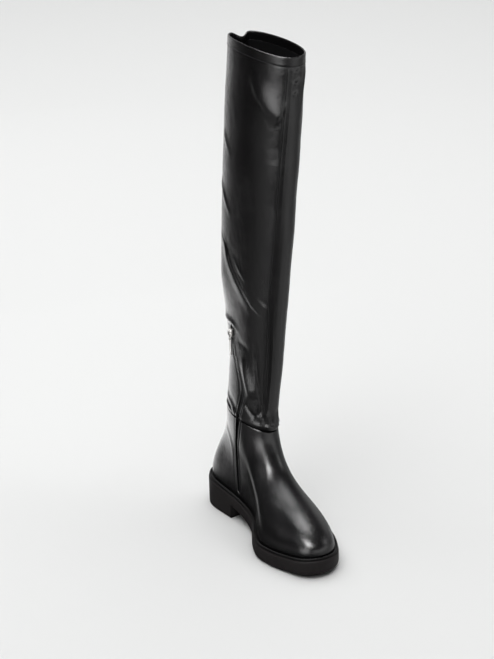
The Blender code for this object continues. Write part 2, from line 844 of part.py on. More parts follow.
def zip_pull(finish, collection, cutters):
    """Flat tab with an eye round the ring's lower wire, which is its axis."""
    hole = WIRE_RADIUS + PIVOT_GAP
    rim = hole + PULL_EYE_RIM
    across = Matrix.Rotation(math.pi / 2, 4, "Y")

    def bar(radius, length):
        def build(bm):
            bmesh.ops.create_cone(
                bm, cap_ends=True, segments=24, radius1=radius, radius2=radius, depth=length, matrix=across
            )

        return mesh_from("zip_pull", build)

    place = ring_place() @ Matrix.Translation((0, 2 * WIRE_RADIUS - RING_HEIGHT, 0))
    pull = new_object("zip_pull", bar(rim, PULL_EYE_WIDTH), finish, collection)
    length = PULL_LENGTH - hole
    size = (PULL_WIDTH, length, PULL_THICKNESS)
    join_with(pull, block("pull_plate", size, (0, -hole - length / 2, 0), 0.0003), cutters, place)
    join_with(pull, bar(hole, PULL_EYE_WIDTH * 2), cutters, place, "DIFFERENCE")
    return hang_on(pull, place)


def stand_on_middle(boot, cutters):
    """Move the boot so that the middle of its box is over the origin, with the pieces under one empty."""
    bpy.context.view_layer.update()
    graph = bpy.context.evaluated_depsgraph_get()
    pieces = [piece.evaluated_get(graph) for piece in boot.objects]
    corners = [piece.matrix_world @ Vector(c) for piece in pieces for c in piece.bound_box]
    low = [min(c[k] for c in corners) for k in range(3)]
    high = [max(c[k] for c in corners) for k in range(3)]
    root = bpy.data.objects.new("boot", None)
    bpy.context.scene.collection.objects.link(root)
    for piece in [*boot.objects, *cutters.objects]:
        piece.parent = root
    root.location = (-(low[0] + high[0]) / 2, -(low[1] + high[1]) / 2, -low[2])


def main():
    for old in list(bpy.data.objects):
        bpy.data.objects.remove(old, do_unlink=True)
    boot = bpy.data.collections.new("thigh high boot")
    cutters = bpy.data.collections.new("cutters")
    for collection in (boot, cutters):
        bpy.context.scene.collection.children.link(collection)
    rubber = material("sole rubber", (0.030, 0.026, 0.027), 0.62)
    leather = material("foot leather", (0.012, 0.012, 0.013), 0.34)
    stretch = material("shaft leather", (0.010, 0.010, 0.011), 0.30)
    edge = material("welt", (0.014, 0.013, 0.013), 0.45)
    lining = material("insole", (0.025, 0.024, 0.024), 0.80)
    cloth = material("zip tape", (0.010, 0.010, 0.010), 0.85)
    metal = material("zip metal", (0.45, 0.44, 0.42), 0.28, 1.0)
    outsole(rubber, boot)
    heel(rubber, boot)
    welt(edge, boot)
    insole(lining, boot)
    upper(leather, boot)
    shaft(stretch, boot)
    ends = (tape_foot(), ZIP_TOP_HEIGHT + TAPE_OVERLAP)
    zip_strip("zip_tape", TAPE_WIDTH, TAPE_THICKNESS, tape_depth, ends, cloth, boot)
    ends = (ZIP_BOTTOM_HEIGHT + TAPE_OVERLAP, ZIP_TOP_HEIGHT - TAPE_OVERLAP)
    zip_strip("zip_teeth", TEETH_WIDTH, TEETH_THICKNESS, teeth_depth, ends, cloth, boot)
    zip_slider(metal, boot, cutters)
    zip_ring(metal, boot)
    zip_pull(metal, boot, cutters)
    stand_on_middle(boot, cutters)


main()
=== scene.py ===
import math

import bmesh
import bpy
import numpy as np
from mathutils import Matrix, Vector, noise


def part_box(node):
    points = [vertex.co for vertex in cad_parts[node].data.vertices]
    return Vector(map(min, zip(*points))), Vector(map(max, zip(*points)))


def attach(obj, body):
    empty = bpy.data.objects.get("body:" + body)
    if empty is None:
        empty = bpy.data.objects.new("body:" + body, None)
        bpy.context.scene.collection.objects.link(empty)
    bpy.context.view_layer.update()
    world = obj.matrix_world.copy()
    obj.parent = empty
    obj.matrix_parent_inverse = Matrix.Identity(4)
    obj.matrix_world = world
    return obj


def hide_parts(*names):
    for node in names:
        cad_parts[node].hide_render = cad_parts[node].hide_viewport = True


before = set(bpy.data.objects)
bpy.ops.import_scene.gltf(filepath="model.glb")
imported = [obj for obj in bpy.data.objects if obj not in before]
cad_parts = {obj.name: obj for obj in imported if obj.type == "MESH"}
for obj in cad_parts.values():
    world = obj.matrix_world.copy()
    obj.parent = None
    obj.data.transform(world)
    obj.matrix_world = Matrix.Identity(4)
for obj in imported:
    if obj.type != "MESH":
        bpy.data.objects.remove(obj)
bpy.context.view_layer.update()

# The boot's own surfaces, with the sizes of the frame's solids, in metres: every piece is placed on them
lastForm = {
    "length": 0.2745,
    "ballWidth": 0.1004,
    "heelWidth": 0.062,
    "toeSwing": 0.0031,
    "toeSpring": 0.0051,
    "edgeAtHeel": 0.0195,
    "edgeAtBall": 0.0187,
    "archRise": 0.016,
    "blockHeight": 0.0199,
    "blockLength": 0.076,
    "margin": 0.0055,
    "gap": 0.0003,
    # station, medial and lateral fullness
    "outline": [
        (0.0, 2.11, 2.11), (0.1, 1.62, 1.6), (0.2, 1.17, 1.25), (0.3, 0.83, 0.99),
        (0.4, 0.64, 0.85), (0.5, 0.66, 0.87), (0.6, 0.9, 0.99), (0.7, 1.08, 1.1),
        (0.8, 1.11, 1.13), (0.9, 1.12, 1.17), (1.0, 1.33, 1.33),
    ],
    # station, shares of heel height, ball thickness and toe spring
    "topEdge": [
        (0.0, 1.0, 0.0, 0.0), (0.14, 0.82, 0.21, 0.0), (0.28, 0.6, 0.45, 0.0),
        (0.4, 0.37, 0.65, 0.0), (0.5, 0.18, 0.83, 0.0), (0.6, 0.05, 0.96, 0.0),
        (0.68, 0.0, 1.0, 0.0), (0.82, 0.0, 1.0, 0.12), (0.9, 0.0, 1.0, 0.4),
        (1.0, 0.0, 1.0, 1.08),
    ],
    # station, shares of arch rise and toe spring
    "underside": [
        (0.28, 1.0, 0.0), (0.36, 0.74, 0.0), (0.44, 0.4, 0.0), (0.52, 0.14, 0.0),
        (0.6, 0.0, 0.0), (0.8, 0.0, 0.0), (0.9, 0.0, 0.3), (1.0, 0.0, 1.0),
    ],
}

footForm = {
    "wall": 0.002,
    "ankleDepth": 0.093,
    "ankleWidth": 0.0535,
    "ankleBack": 0.014,
    "ankleShift": 0.0104,
    "seamFront": 0.1278,
    "seamBack": 0.139,
    "seamTilt": 0.0055,
    # share up from the feather line: forward, front, bulge, back, oval, medial, lateral, curve
    "sections": [
        (0, 1.0, 0.0, 0.0, 0.0, 0.0, 1.0, 1.0, 1.0),
        (1, 1.006, 0.06, 0.035, 0.07, 0.0, 1.008, 1.006, 0.93),
        (2, 0.985, 0.135, 0.06, 0.145, 0.04, 0.995, 0.975, 0.82),
        (3, 0.925, 0.21, 0.04, 0.225, 0.12, 0.96, 0.905, 0.66),
        (4, 0.825, 0.28, -0.01, 0.31, 0.26, 0.925, 0.835, 0.48),
        (5, 0.69, 0.34, -0.11, 0.4, 0.46, 0.915, 0.775, 0.32),
        (6, 0.53, 0.395, -0.26, 0.495, 0.66, 0.915, 0.755, 0.18),
        (7, 0.36, 0.47, -0.44, 0.6, 0.82, 0.93, 0.78, 0.09),
        (8, 0.205, 0.575, -0.63, 0.715, 0.92, 0.96, 0.855, 0.03),
        (9, 0.098, 0.712, -0.79, 0.825, 0.98, 0.985, 0.925, 0.0),
        (10, 0.032, 0.862, -0.91, 0.92, 1.0, 1.0, 0.98, 0.0),
        (11, 0.0, 1.0, -1.0, 1.0, 1.0, 1.0, 1.0, 0.0),
    ],
}

legForm = {
    "wall": 0.0015,
    "depth": 0.144,
    "width": 0.072,
    "height": 0.6095,
    "innerRise": 0.0065,
    "outerDip": 0.003,
    "backDip": 0.005,
    "fold": 0.01,
    "frontLean": 0.022,
    "sideLean": 0.0313,
    # height share: growth in depth, in width, forward lean, side lean
    "sections": [
        (0.0, 0.0, 0.0, 0.0, 0.0), (0.05, -0.06, 0.0, -0.05, 0.04), (0.1, -0.03, 0.02, -0.07, 0.14),
        (0.15, 0.09, 0.01, -0.01, 0.24), (0.21, 0.29, 0.06, 0.07, 0.33), (0.27, 0.52, 0.25, 0.16, 0.38),
        (0.35, 0.76, 0.46, 0.27, 0.45), (0.43, 0.91, 0.5, 0.36, 0.55), (0.52, 0.97, 0.61, 0.48, 0.64),
        (0.61, 0.99, 0.79, 0.57, 0.71), (0.69, 0.99, 0.92, 0.66, 0.77), (0.77, 0.98, 0.99, 0.75, 0.83),
        (0.86, 1.0, 1.0, 0.86, 0.9), (1.0, 1.0, 0.98, 1.0, 1.0),
    ],
    # height share, turn of the front strip
    "strip": [
        (0.0, -0.04), (0.08, -0.036), (0.2, -0.047), (0.36, -0.052), (0.47, -0.051), (0.69, -0.041),
        (0.85, -0.032), (1.0, -0.024),
    ],
}

zipForm = {
    "footRise": 0.0083,
    "top": 0.256,
    "slit": 0.0068,
    "tapeWidth": 0.023,
    "tapeThickness": 0.0008,
    "teethThickness": 0.0014,
    "sliderBelowTop": 0.0125,
    # share of its own length, turn
    "line": [
        (0.0, 0.693), (0.14, 0.693), (0.21, 0.703), (0.28, 0.729), (0.35, 0.759), (0.43, 0.781),
        (0.51, 0.791), (0.58, 0.807), (0.63, 0.81), (0.7, 0.791), (0.77, 0.757), (0.85, 0.725),
        (0.93, 0.713), (1.0, 0.722),
    ],
}


def through(x, table, column):
    # smooth curve through a table's rows
    xs = np.array([row[0] for row in table], float)
    ys = np.array([row[column] for row in table], float)
    slopes = np.empty(len(xs))
    slopes[1:-1] = (ys[2:] - ys[:-2]) / (xs[2:] - xs[:-2])
    slopes[0] = (ys[1] - ys[0]) / (xs[1] - xs[0])
    slopes[-1] = (ys[-1] - ys[-2]) / (xs[-1] - xs[-2])
    x = np.clip(x, xs[0], xs[-1])
    i = np.clip(np.searchsorted(xs, x) - 1, 0, len(xs) - 2)
    h = xs[i + 1] - xs[i]
    u = (x - xs[i]) / h
    rise = ys[i] * (1 + 2 * u) * (1 - u) ** 2 + ys[i + 1] * u * u * (3 - 2 * u)
    return rise + slopes[i] * h * u * (1 - u) ** 2 + slopes[i + 1] * h * u * u * (u - 1)


def mix(a, b, share):
    return a + (b - a) * share


def ease(x, low, high):
    u = np.clip((x - low) / (high - low), 0.0, 1.0)
    return u * u * (3 - 2 * u)


def bell(x, width):
    return np.exp(-((x / width) ** 2))


legSpan = legForm["height"] - footForm["seamFront"]
heelBack = lastForm["blockLength"] / 2
toeTip = heelBack - lastForm["length"]
featherBack = heelBack - lastForm["margin"]
featherToe = toeTip + lastForm["margin"]
ankleFront = footForm["ankleBack"] - footForm["ankleDepth"]


def station(turn):
    # share of the length from heel to toe: 0 turns is the toe, half a turn the heel, 0.75 the inner side
    return (1 + np.cos(2 * np.pi * turn)) / 2


def toeSwing(s):
    return lastForm["toeSwing"] * np.maximum(2 * s - 1, 0) ** 2


def edgePlan(turn):
    s = station(turn)
    sine = np.sin(2 * np.pi * turn)
    unit = mix(lastForm["heelWidth"], lastForm["ballWidth"], ease(s, 0.15, 0.7)) / 2
    full = np.where(sine < 0, through(s, lastForm["outline"], 1), through(s, lastForm["outline"], 2))
    return sine * full * unit - toeSwing(s), heelBack - lastForm["length"] * s


def insetPlan(turn, inset):
    x, y = edgePlan(turn)
    ax, ay = edgePlan(turn - 0.004)
    bx, by = edgePlan(turn + 0.004)
    length = np.hypot(bx - ax, by - ay)
    return x - (by - ay) / length * inset, y + (bx - ax) / length * inset


def soleStation(y):
    return np.clip((heelBack - y) / lastForm["length"], 0.0, 1.0)


def soleTop(y):
    heel, ball, spring = (through(soleStation(y), lastForm["topEdge"], column) for column in (1, 2, 3))
    high = (lastForm["blockHeight"] + lastForm["edgeAtHeel"]) * heel
    return high + lastForm["edgeAtBall"] * ball + lastForm["toeSpring"] * spring


def heelSeat(y):
    fall = (lastForm["blockHeight"] - lastForm["archRise"]) / lastForm["blockLength"]
    return lastForm["blockHeight"] - fall * (heelBack - y)


def soleUnderside(y):
    s = soleStation(y)
    rise = lastForm["archRise"] * through(s, lastForm["underside"], 1)
    rise = np.maximum(rise + lastForm["toeSpring"] * through(s, lastForm["underside"], 2), 0.0)
    return np.where(y > heelBack - lastForm["blockLength"], heelSeat(y), rise)


# Where the frame put the boot: its outsole's lowest corner against the same outline here
loopX, loopY = edgePlan(np.arange(64) / 64)
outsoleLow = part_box("outsole")[0]
stand = np.array([outsoleLow[0] - loopX.min(), outsoleLow[1] - loopY.min(), 0.0])


def placed(x, y, z):
    x, y, z = np.broadcast_arrays(x, y, z)
    return np.stack([x, y, z], -1) + stand


def seamHeight(turn):
    level = mix(footForm["seamBack"], footForm["seamFront"], station(turn))
    return level - footForm["seamTilt"] * np.sin(2 * np.pi * turn)


def footPoint(share, turn):
    # outer face of the foot part: share 0 is the feather line, 1 the ankle seam
    rows = np.clip(share, 0.0, 1.0) * (len(footForm["sections"]) - 1)
    forward, front, bulge, back, oval, medial, lateral, curve = (
        through(rows, footForm["sections"], c) for c in range(1, 9)
    )
    s = station(turn)
    sine = np.sin(2 * np.pi * turn)
    rear = featherBack + (featherBack - footForm["ankleBack"]) * bulge
    y = mix(rear, mix(ankleFront, featherToe, forward), s)
    width = np.where(sine < 0, medial, lateral)
    featherX, featherY = insetPlan(turn, lastForm["margin"])
    footHalf = (featherX + toeSwing(s)) * width
    ovalHalf = sine * footForm["ankleWidth"] / 2 * width
    x = mix(footHalf, ovalHalf, oval) + mix(-toeSwing(s), footForm["ankleShift"], oval)
    y = y + (featherY - mix(featherBack, featherToe, s)) * (1 - oval)
    lowFront = soleTop(featherToe) + lastForm["gap"]
    lowBack = soleTop(featherBack) + lastForm["gap"]
    zFront = mix(lowFront, footForm["seamFront"], front)
    zBack = mix(lowBack, footForm["seamBack"], back)
    sag = soleTop(featherY) + lastForm["gap"] - mix(lowBack, lowFront, s)
    tilt = seamHeight(turn) - mix(footForm["seamBack"], footForm["seamFront"], s)
    tilt = tilt * np.maximum(mix(front, back, 1 - s), 0) ** 2
    return placed(x, y, mix(zBack, zFront, s) + sag * curve + tilt)


def backSeam(turn):
    return bell(turn % 1 - 0.5, 0.035)


def collarHeight(turn):
    sine = np.sin(2 * np.pi * turn)
    wave = legForm["innerRise"] * np.minimum(sine, 0) ** 2 - legForm["outerDip"] * np.maximum(sine, 0) ** 2
    return legForm["height"] + wave - legForm["backDip"] * backSeam(turn)


def legPoint(share, turn):
    # outer face of the shaft: share 0 is the ankle seam, 1 the collar
    depth = mix(footForm["ankleDepth"], legForm["depth"], through(share, legForm["sections"], 1))
    width = mix(footForm["ankleWidth"], legForm["width"], through(share, legForm["sections"], 2))
    front = ankleFront - legForm["frontLean"] * through(share, legForm["sections"], 3)
    middle = footForm["ankleShift"] + legForm["sideLean"] * through(share, legForm["sections"], 4)
    x = middle + np.sin(2 * np.pi * turn) * width / 2
    y = front + depth * (1 - station(turn)) - legForm["fold"] * backSeam(turn) * ease(share, 0.72, 1.0)
    return placed(x, y, mix(seamHeight(turn), collarHeight(turn), share))


def outward(surface, share, turn):
    low = np.maximum(share - 0.004, 0.0)
    high = np.minimum(share + 0.004, 1.0)
    along = surface(high, turn) - surface(low, turn)
    across = surface(share, turn + 0.003) - surface(share, turn - 0.003)
    normal = np.cross(across, along)
    return normal / np.linalg.norm(normal, axis=-1, keepdims=True)


def turnStep(surface, share, turn, width):
    # turn that a width takes up on a surface
    reach = np.linalg.norm(surface(share, turn + 0.005) - surface(share, turn - 0.005), axis=-1)
    return width / reach * 0.01


def shareAt(surface, z, turn):
    z, turn = np.broadcast_arrays(np.asarray(z, float), np.asarray(turn, float))
    low = np.zeros(z.shape)
    high = np.ones(z.shape)
    for _ in range(24):
        middle = (low + high) / 2
        below = surface(middle, turn)[..., 2] < z
        low = np.where(below, middle, low)
        high = np.where(below, high, middle)
    return (low + high) / 2


zipFoot = float(footPoint(0.0, zipForm["line"][0][1])[2]) + zipForm["footRise"]


def zipTurn(z):
    return through((z - zipFoot) / (zipForm["top"] - zipFoot), zipForm["line"], 1)


def zipTurnOnRow(surface, share):
    turn = np.full(np.shape(share), zipForm["line"][0][1])
    for _ in range(8):
        turn = zipTurn(surface(share, turn)[..., 2])
    return turn


# Meshes

def skinMesh(points, closedFrom=None, closedTo=None):
    # a grid bent over rows and columns of places; rows closedFrom to closedTo are sewn into rings
    rows, columns = points.shape[:2]
    bm = bmesh.new()
    bm.loops.layers.uv.new("UVMap")
    bmesh.ops.create_grid(bm, x_segments=columns - 1, y_segments=rows - 1, size=1.0, calc_uvs=True)
    bm.verts.ensure_lookup_table()
    flat = points.reshape(-1, 3)
    for vert in bm.verts:
        vert.co = flat[vert.index]
    if closedFrom is not None:
        starts = [r * columns for r in range(closedFrom, closedTo)]
        pairs = {bm.verts[i + columns - 1]: bm.verts[i] for i in starts}
        bmesh.ops.weld_verts(bm, targetmap=pairs)
    return bm


def meshFrom(name, bm):
    mesh = bpy.data.meshes.new(name)
    bm.to_mesh(mesh)
    bm.free()
    return mesh


def merged(target, extra):
    mesh = meshFrom("part", extra)
    target.from_mesh(mesh)
    bpy.data.meshes.remove(mesh)


def linked(name, data):
    piece = bpy.data.objects.new(name, data)
    bpy.context.scene.collection.objects.link(piece)
    return piece


def bevelled(bm, edges, offset, segments):
    return bmesh.ops.bevel(
        bm, geom=edges, offset=offset, segments=segments, profile=0.5, affect="EDGES", material=-1
    )["faces"]


def uprights(edges):
    return [e for e in edges if abs(e.verts[0].co.z - e.verts[1].co.z) > 1e-6]


def frameAt(x, y, z, place):
    turn = Matrix((x, y, z)).transposed().to_4x4()
    turn.translation = place
    return turn


def makePiece(name, bm, finishes, body="boot", instead=(), sharp=None):
    mesh = meshFrom(name, bm)
    piece = linked(name, mesh)
    for finish in finishes:
        mesh.materials.append(finish)
    mesh.shade_smooth()
    if sharp:
        mesh.set_sharp_from_angle(angle=math.radians(sharp))
    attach(piece, body)
    if instead:
        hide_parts(*instead)
    return piece


def wall(piece, thickness, lining=0):
    shell = piece.modifiers.new("wall", "SOLIDIFY")
    shell.thickness = thickness
    shell.offset = -1
    shell.use_rim = True
    shell.use_quality_normals = True
    shell.material_offset = lining
    return piece


def stitchRun(bm, places, normals, pitch, length, radius):
    # thread stitches along a line on a surface
    steps = np.linalg.norm(np.diff(places, axis=0), axis=1)
    run = np.concatenate([[0.0], np.cumsum(steps)])

    def along(at, values):
        return Vector([np.interp(at, run, values[:, c]) for c in range(3)])

    for k in range(int(run[-1] / pitch)):
        at = (k + 0.5) * pitch
        place = along(at, places)
        out = along(at, normals).normalized()
        ahead = (along(at + pitch / 2, places) - place).normalized()
        side = out.cross(ahead).normalized()
        size = Matrix.Diagonal((length / 2, radius, radius, 1))
        lying = frameAt(ahead, side, ahead.cross(side), place) @ size @ Matrix.Rotation(math.pi / 2, 4, "Y")
        bmesh.ops.create_uvsphere(bm, u_segments=6, v_segments=4, radius=1.0, matrix=lying)


# Finishes

def nodeAdder(tree):
    # a function that adds a node, with values or links for its inputs
    def add(kind, values=None, **settings):
        node = tree.nodes.new(kind)
        for key, value in settings.items():
            setattr(node, key, value)
        for socket, value in (values or {}).items():
            if isinstance(value, bpy.types.NodeSocket):
                tree.links.new(value, node.inputs[socket])
            else:
                node.inputs[socket].default_value = value
        return node

    return add


def startFinish(name, colour, roughness, **sockets):
    finish = bpy.data.materials.new(name)
    finish.use_nodes = True
    tree = finish.node_tree
    shader = tree.nodes["Principled BSDF"]
    shader.inputs["Base Color"].default_value = (*colour, 1)
    shader.inputs["Roughness"].default_value = roughness
    for socket, value in sockets.items():
        shader.inputs[socket.replace("_", " ")].default_value = value

    def link(source, target):
        tree.links.new(source, shader.inputs[target])

    return finish, nodeAdder(tree), link


def scaled(add, value, factor, plus=0.0):
    return add("ShaderNodeMath", {0: value, 1: factor, 2: plus}, operation="MULTIPLY_ADD").outputs[0]


def summed(add, a, b):
    return add("ShaderNodeMath", {0: a, 1: b}, operation="ADD").outputs[0]


def noiseOf(add, scale, detail, **more):
    spot = add("ShaderNodeTexCoord").outputs["Object"]
    values = {"Vector": spot, "Scale": scale, "Detail": detail, **more}
    return add("ShaderNodeTexNoise", values).outputs["Fac"]


def bumpOf(add, height, strength, distance, **more):
    values = {"Height": height, "Strength": strength, "Distance": distance, **more}
    return add("ShaderNodeBump", values).outputs[0]


def toned(add, factor, low, high):
    tone = add("ShaderNodeMix", {"Factor": factor}, data_type="RGBA")
    tone.inputs["A"].default_value = (*low, 1)
    tone.inputs["B"].default_value = (*high, 1)
    return tone.outputs["Result"]


def leather(name, look):
    # grained leather: cells of the grain, finer pores, slow changes of gloss and tone
    grain, roughness = look["grain"], look["roughness"]
    finish, add, link = startFinish(name, look["colour"], roughness, Specular_IOR_Level=look["specular"])
    spot = add("ShaderNodeTexCoord").outputs["Object"]
    cells = add("ShaderNodeTexVoronoi", {"Vector": spot, "Scale": 1 / grain}, feature="F1")
    pores = noiseOf(add, 2.6 / grain, 2.0)
    wrinkle = noiseOf(add, 0.16 / grain, 4.0, Roughness=0.6)
    slow = noiseOf(add, 22.0, 3.0)
    relief = summed(add, scaled(add, cells.outputs["Distance"], 1.0), scaled(add, pores, 0.5))
    fine = bumpOf(add, relief, look["bump"], grain * 0.25)
    link(bumpOf(add, wrinkle, look["wrinkle"], 0.002, Normal=fine), "Normal")
    link(scaled(add, slow, look["glossChange"], roughness - look["glossChange"] / 2), "Roughness")
    link(toned(add, slow, look["colour"], look["highColour"]), "Base Color")
    return finish


shaftLeather = leather("shaft leather", {
    "colour": (0.0052, 0.0049, 0.0052),
    "highColour": (0.008, 0.0076, 0.008),
    "roughness": 0.23,
    "specular": 0.5,
    "grain": 0.0012,
    "bump": 0.42,
    "wrinkle": 0.13,
    "glossChange": 0.08,
})
footLeather = leather("foot leather", {
    "colour": (0.0036, 0.0034, 0.0038),
    "highColour": (0.006, 0.0057, 0.0063),
    "roughness": 0.25,
    "specular": 0.5,
    "grain": 0.0008,
    "bump": 0.35,
    "wrinkle": 0.1,
    "glossChange": 0.06,
})


def clothFinish(name, colour, pitch, strength, roughness):
    # woven cloth: two crossing waves and a fuzz
    finish, add, link = startFinish(name, colour, roughness, Specular_IOR_Level=0.06)
    spot = add("ShaderNodeTexCoord").outputs["Object"]
    weave = {"Vector": spot, "Scale": 0.5 / pitch * 0.314, "Distortion": 0.6}
    waves = [add("ShaderNodeTexWave", weave, bands_direction=axis).outputs["Fac"] for axis in ("Z", "Y")]
    fuzz = noiseOf(add, 900.0, 2.0)
    link(bumpOf(add, summed(add, summed(add, *waves), fuzz), strength, pitch * 0.3), "Normal")
    link(scaled(add, fuzz, 0.1, roughness - 0.05), "Roughness")
    return finish


liningCloth = clothFinish("lining cloth", (0.007, 0.007, 0.0075), 0.0006, 0.4, 0.85)
tapeCloth = clothFinish("zip tape cloth", (0.012, 0.012, 0.013), 0.0008, 0.7, 0.75)
sockCloth = clothFinish("insole cover", (0.022, 0.021, 0.021), 0.0007, 0.3, 0.8)


def rubberFinish(name, colour, roughness, speck):
    # moulded rubber: fine matt surface with slow changes of tone
    finish, add, link = startFinish(name, colour, roughness, Specular_IOR_Level=0.12)
    broad = noiseOf(add, 45.0, 4.0)
    link(bumpOf(add, noiseOf(add, 1600.0, 3.0, Roughness=0.7), speck, 0.0002), "Normal")
    link(scaled(add, broad, 0.14, roughness - 0.07), "Roughness")
    link(toned(add, broad, [c * 0.85 for c in colour], [c * 1.2 for c in colour]), "Base Color")
    return finish


soleRubber = rubberFinish("sole rubber", (0.02, 0.0175, 0.0178), 0.55, 0.35)
treadRubber = rubberFinish("tread rubber", (0.012, 0.011, 0.011), 0.7, 0.5)
weltPlastic = rubberFinish("welt plastic", (0.007, 0.0066, 0.0068), 0.45, 0.2)


def threadFinish(name, colour):
    finish, add, link = startFinish(name, colour, 0.55, Specular_IOR_Level=0.4)
    link(bumpOf(add, noiseOf(add, 2500.0, 1.0), 0.4, 0.0001), "Normal")
    return finish


blackThread = threadFinish("black thread", (0.01, 0.01, 0.011))
weltThread = threadFinish("welt thread", (0.017, 0.016, 0.017))
toothPlastic = threadFinish("zip tooth plastic", (0.012, 0.012, 0.013))


def metalFinish(name, colour, roughness):
    finish, add, link = startFinish(name, colour, roughness, Metallic=1.0)
    brush = noiseOf(add, 700.0, 3.0)
    link(bumpOf(add, brush, 0.12, 0.0002), "Normal")
    link(scaled(add, brush, 0.16, roughness - 0.08), "Roughness")
    return finish


zipMetal = metalFinish("zip metal", (0.7, 0.69, 0.67), 0.38)
print("finishes ready")

# Shaft: columns run from the zip's front edge round the front strip, the outer side and the back to the zip
shaft = {
    "edgeSteps": (0.0, 0.00018, 0.0005, 0.001, 0.0017),
    # share of the zip's slit left open below the slider
    "closing": 0.66,
    "frontColumns": 96,
    "stepColumns": 2,
    "stripColumns": 18,
    "aroundColumns": 146,
    "stripWidth": 0.007,
    "stripRun": 0.0006,
    # groove and ridge along the strip: distance to the right of its middle, width, rise
    "stripLines": [(-0.0032, 0.00065, -0.0009), (-0.0018, 0.0006, 0.00035), (0.003, 0.001, 0.0002)],
    "hemHeight": 0.011,
    "hemRaise": 0.00022,
    "tuck": (0.006, 0.004, 0.002, 0.0008),
    "denseTo": 0.06,
    "middleTo": 0.225,
    "denseRows": 58,
    "middleRows": 150,
    "upperRows": 176,
    "rimWall": 0.0021,
    "rimRows": 6,
    "turnIn": 0.0125,
    "waveHeight": 0.0007,
    "rippleHeight": 0.00016,
    # the zip's edges: width of their roll, how far they sink, then the line beside them: distance, width
    "edgeRoll": 0.0011,
    "pressed": 0.0004,
    "edgeLine": (0.0032, 0.0009),
    # the ankle seam: how far up the shaft is drawn in, then the swell above it: height, width, rise
    "drawnIn": 0.0022,
    "swell": (0.0055, 0.0038, 0.0009),
    "turnInRows": (0.15, 0.35, 0.6, 0.85, 1.0),
}

# Creases of the shaft: rise, widths of the side to the left going down and to the right, trough
# on the right, fades at the start and end, then height in mm and turn along each
creases = [
    # long diagonal fold above the zip, steep on its upper side
    (1.7, 10.0, 3.6, 0.0, 0.35, 0.4, [(372, 0.59), (362, 0.64), (354, 0.69), (336, 0.722), (323, 0.757),
        (308, 0.798), (293, 0.839), (284, 0.877), (277, 0.914)]),
    # sharp groove along that fold's upper side
    (-1.5, 1.6, 1.8, 0.0, 0.3, 0.4, [(372, 0.6), (362, 0.65), (353, 0.699), (336, 0.732), (323, 0.767),
        (308, 0.808), (293, 0.849), (284, 0.886), (277, 0.922)]),
    # its fainter neighbours
    (0.45, 2.5, 2.5, 0.0, 0.45, 0.45, [(350, 0.742), (340, 0.765), (331, 0.786), (322, 0.817),
        (315, 0.85)]),
    (0.5, 3.0, 2.5, 0.3, 0.4, 0.4, [(307, 0.85), (299, 0.886), (293, 0.915), (288, 0.935)]),
    # soft streaks at knee height and above
    (1.3, 5.0, 4.5, 0.0, 0.35, 0.5, [(436, 0.59), (426, 0.64), (414, 0.68), (400, 0.712), (384, 0.74)]),
    (1.0, 6.0, 5.0, 0.0, 0.35, 0.5, [(505, 0.64), (492, 0.668), (480, 0.7), (466, 0.735)]),
    (-0.8, 9.0, 9.0, 0.0, 0.4, 0.4, [(470, 0.8), (440, 0.812), (405, 0.82), (375, 0.835)]),
    # roof over the zip's top
    (1.7, 2.4, 5.0, 0.0, 0.1, 0.55, [(257, 0.63), (257, 0.681), (257, 0.714), (256, 0.74), (252, 0.76),
        (248, 0.785)]),
    # long valley between the zip's bulge and the front
    (-1.9, 3.0, 4.0, 0.0, 0.2, 0.1, [(249, 0.855), (233, 0.869), (216, 0.875), (201, 0.886), (184, 0.905),
        (174, 0.92), (164, 0.931), (156, 0.93), (148, 0.919)]),
    # crest of the bulge in front of the zip
    (2.8, 6.0, 7.5, 0.0, 0.4, 0.25, [(224, 0.785), (210, 0.804), (196, 0.824), (181, 0.852), (168, 0.88)]),
    (-1.8, 3.5, 3.5, 0.0, 0.2, 0.2, [(166, 0.826), (157, 0.85), (150, 0.88), (146, 0.905)]),
    # soft dip over the bulge
    (-0.6, 4.5, 4.5, 0.0, 0.4, 0.4, [(239, 0.745), (237, 0.775), (234, 0.81), (231, 0.84)]),
    # creases behind the zip, falling to the seam
    (1.0, 2.2, 3.4, 0.4, 0.3, 0.1, [(166, 0.64), (158, 0.672), (153, 0.72), (144, 0.764)]),
    (0.8, 2.0, 2.4, 0.4, 0.3, 0.1, [(152, 0.629), (147, 0.695), (143, 0.744)]),
    # pleats over the instep
    (1.6, 2.0, 2.0, 0.6, 0.5, 0.05, [(153, 0.926), (145, 0.936), (136, 0.946)]),
    (1.7, 2.2, 2.0, 0.6, 0.5, 0.05, [(158, 0.982), (147, 0.985), (134, 0.99)]),
    (1.6, 2.2, 2.2, 0.5, 0.5, 0.05, [(158, 1.048), (146, 1.043), (133, 1.034)]),
    (1.3, 2.6, 2.6, 0.5, 0.5, 0.05, [(155, 1.105), (143, 1.095), (131, 1.085)]),
    (1.0, 3.0, 3.0, 0.4, 0.5, 0.05, [(150, 1.17), (140, 1.16), (130, 1.15)]),
    # ruckles beside the strip, under the collar
    (1.2, 1.8, 2.4, 0.6, 0.2, 0.4, [(590, 1), (592, 1.02), (597, 1.045)]),
    (1.5, 2.0, 2.6, 0.6, 0.2, 0.4, [(576, 1.002), (579, 1.022), (586, 1.05)]),
    (1.3, 2.0, 2.6, 0.6, 0.2, 0.4, [(563, 1), (565, 1.017), (570, 1.04)]),
    # pinched fold down the outer front
    (1.4, 4.0, 7.0, 0.0, 0.3, 0.4, [(604, 1.095), (582, 1.088), (556, 1.066), (525, 1.045)]),
    # lower side of the tilted facet beside the strip
    (3.2, 8.0, 15.0, 0.0, 0.4, 0.12, [(594, 0.8), (577, 0.824), (561, 0.855), (549, 0.888), (541, 0.922),
        (537, 0.948)]),
]


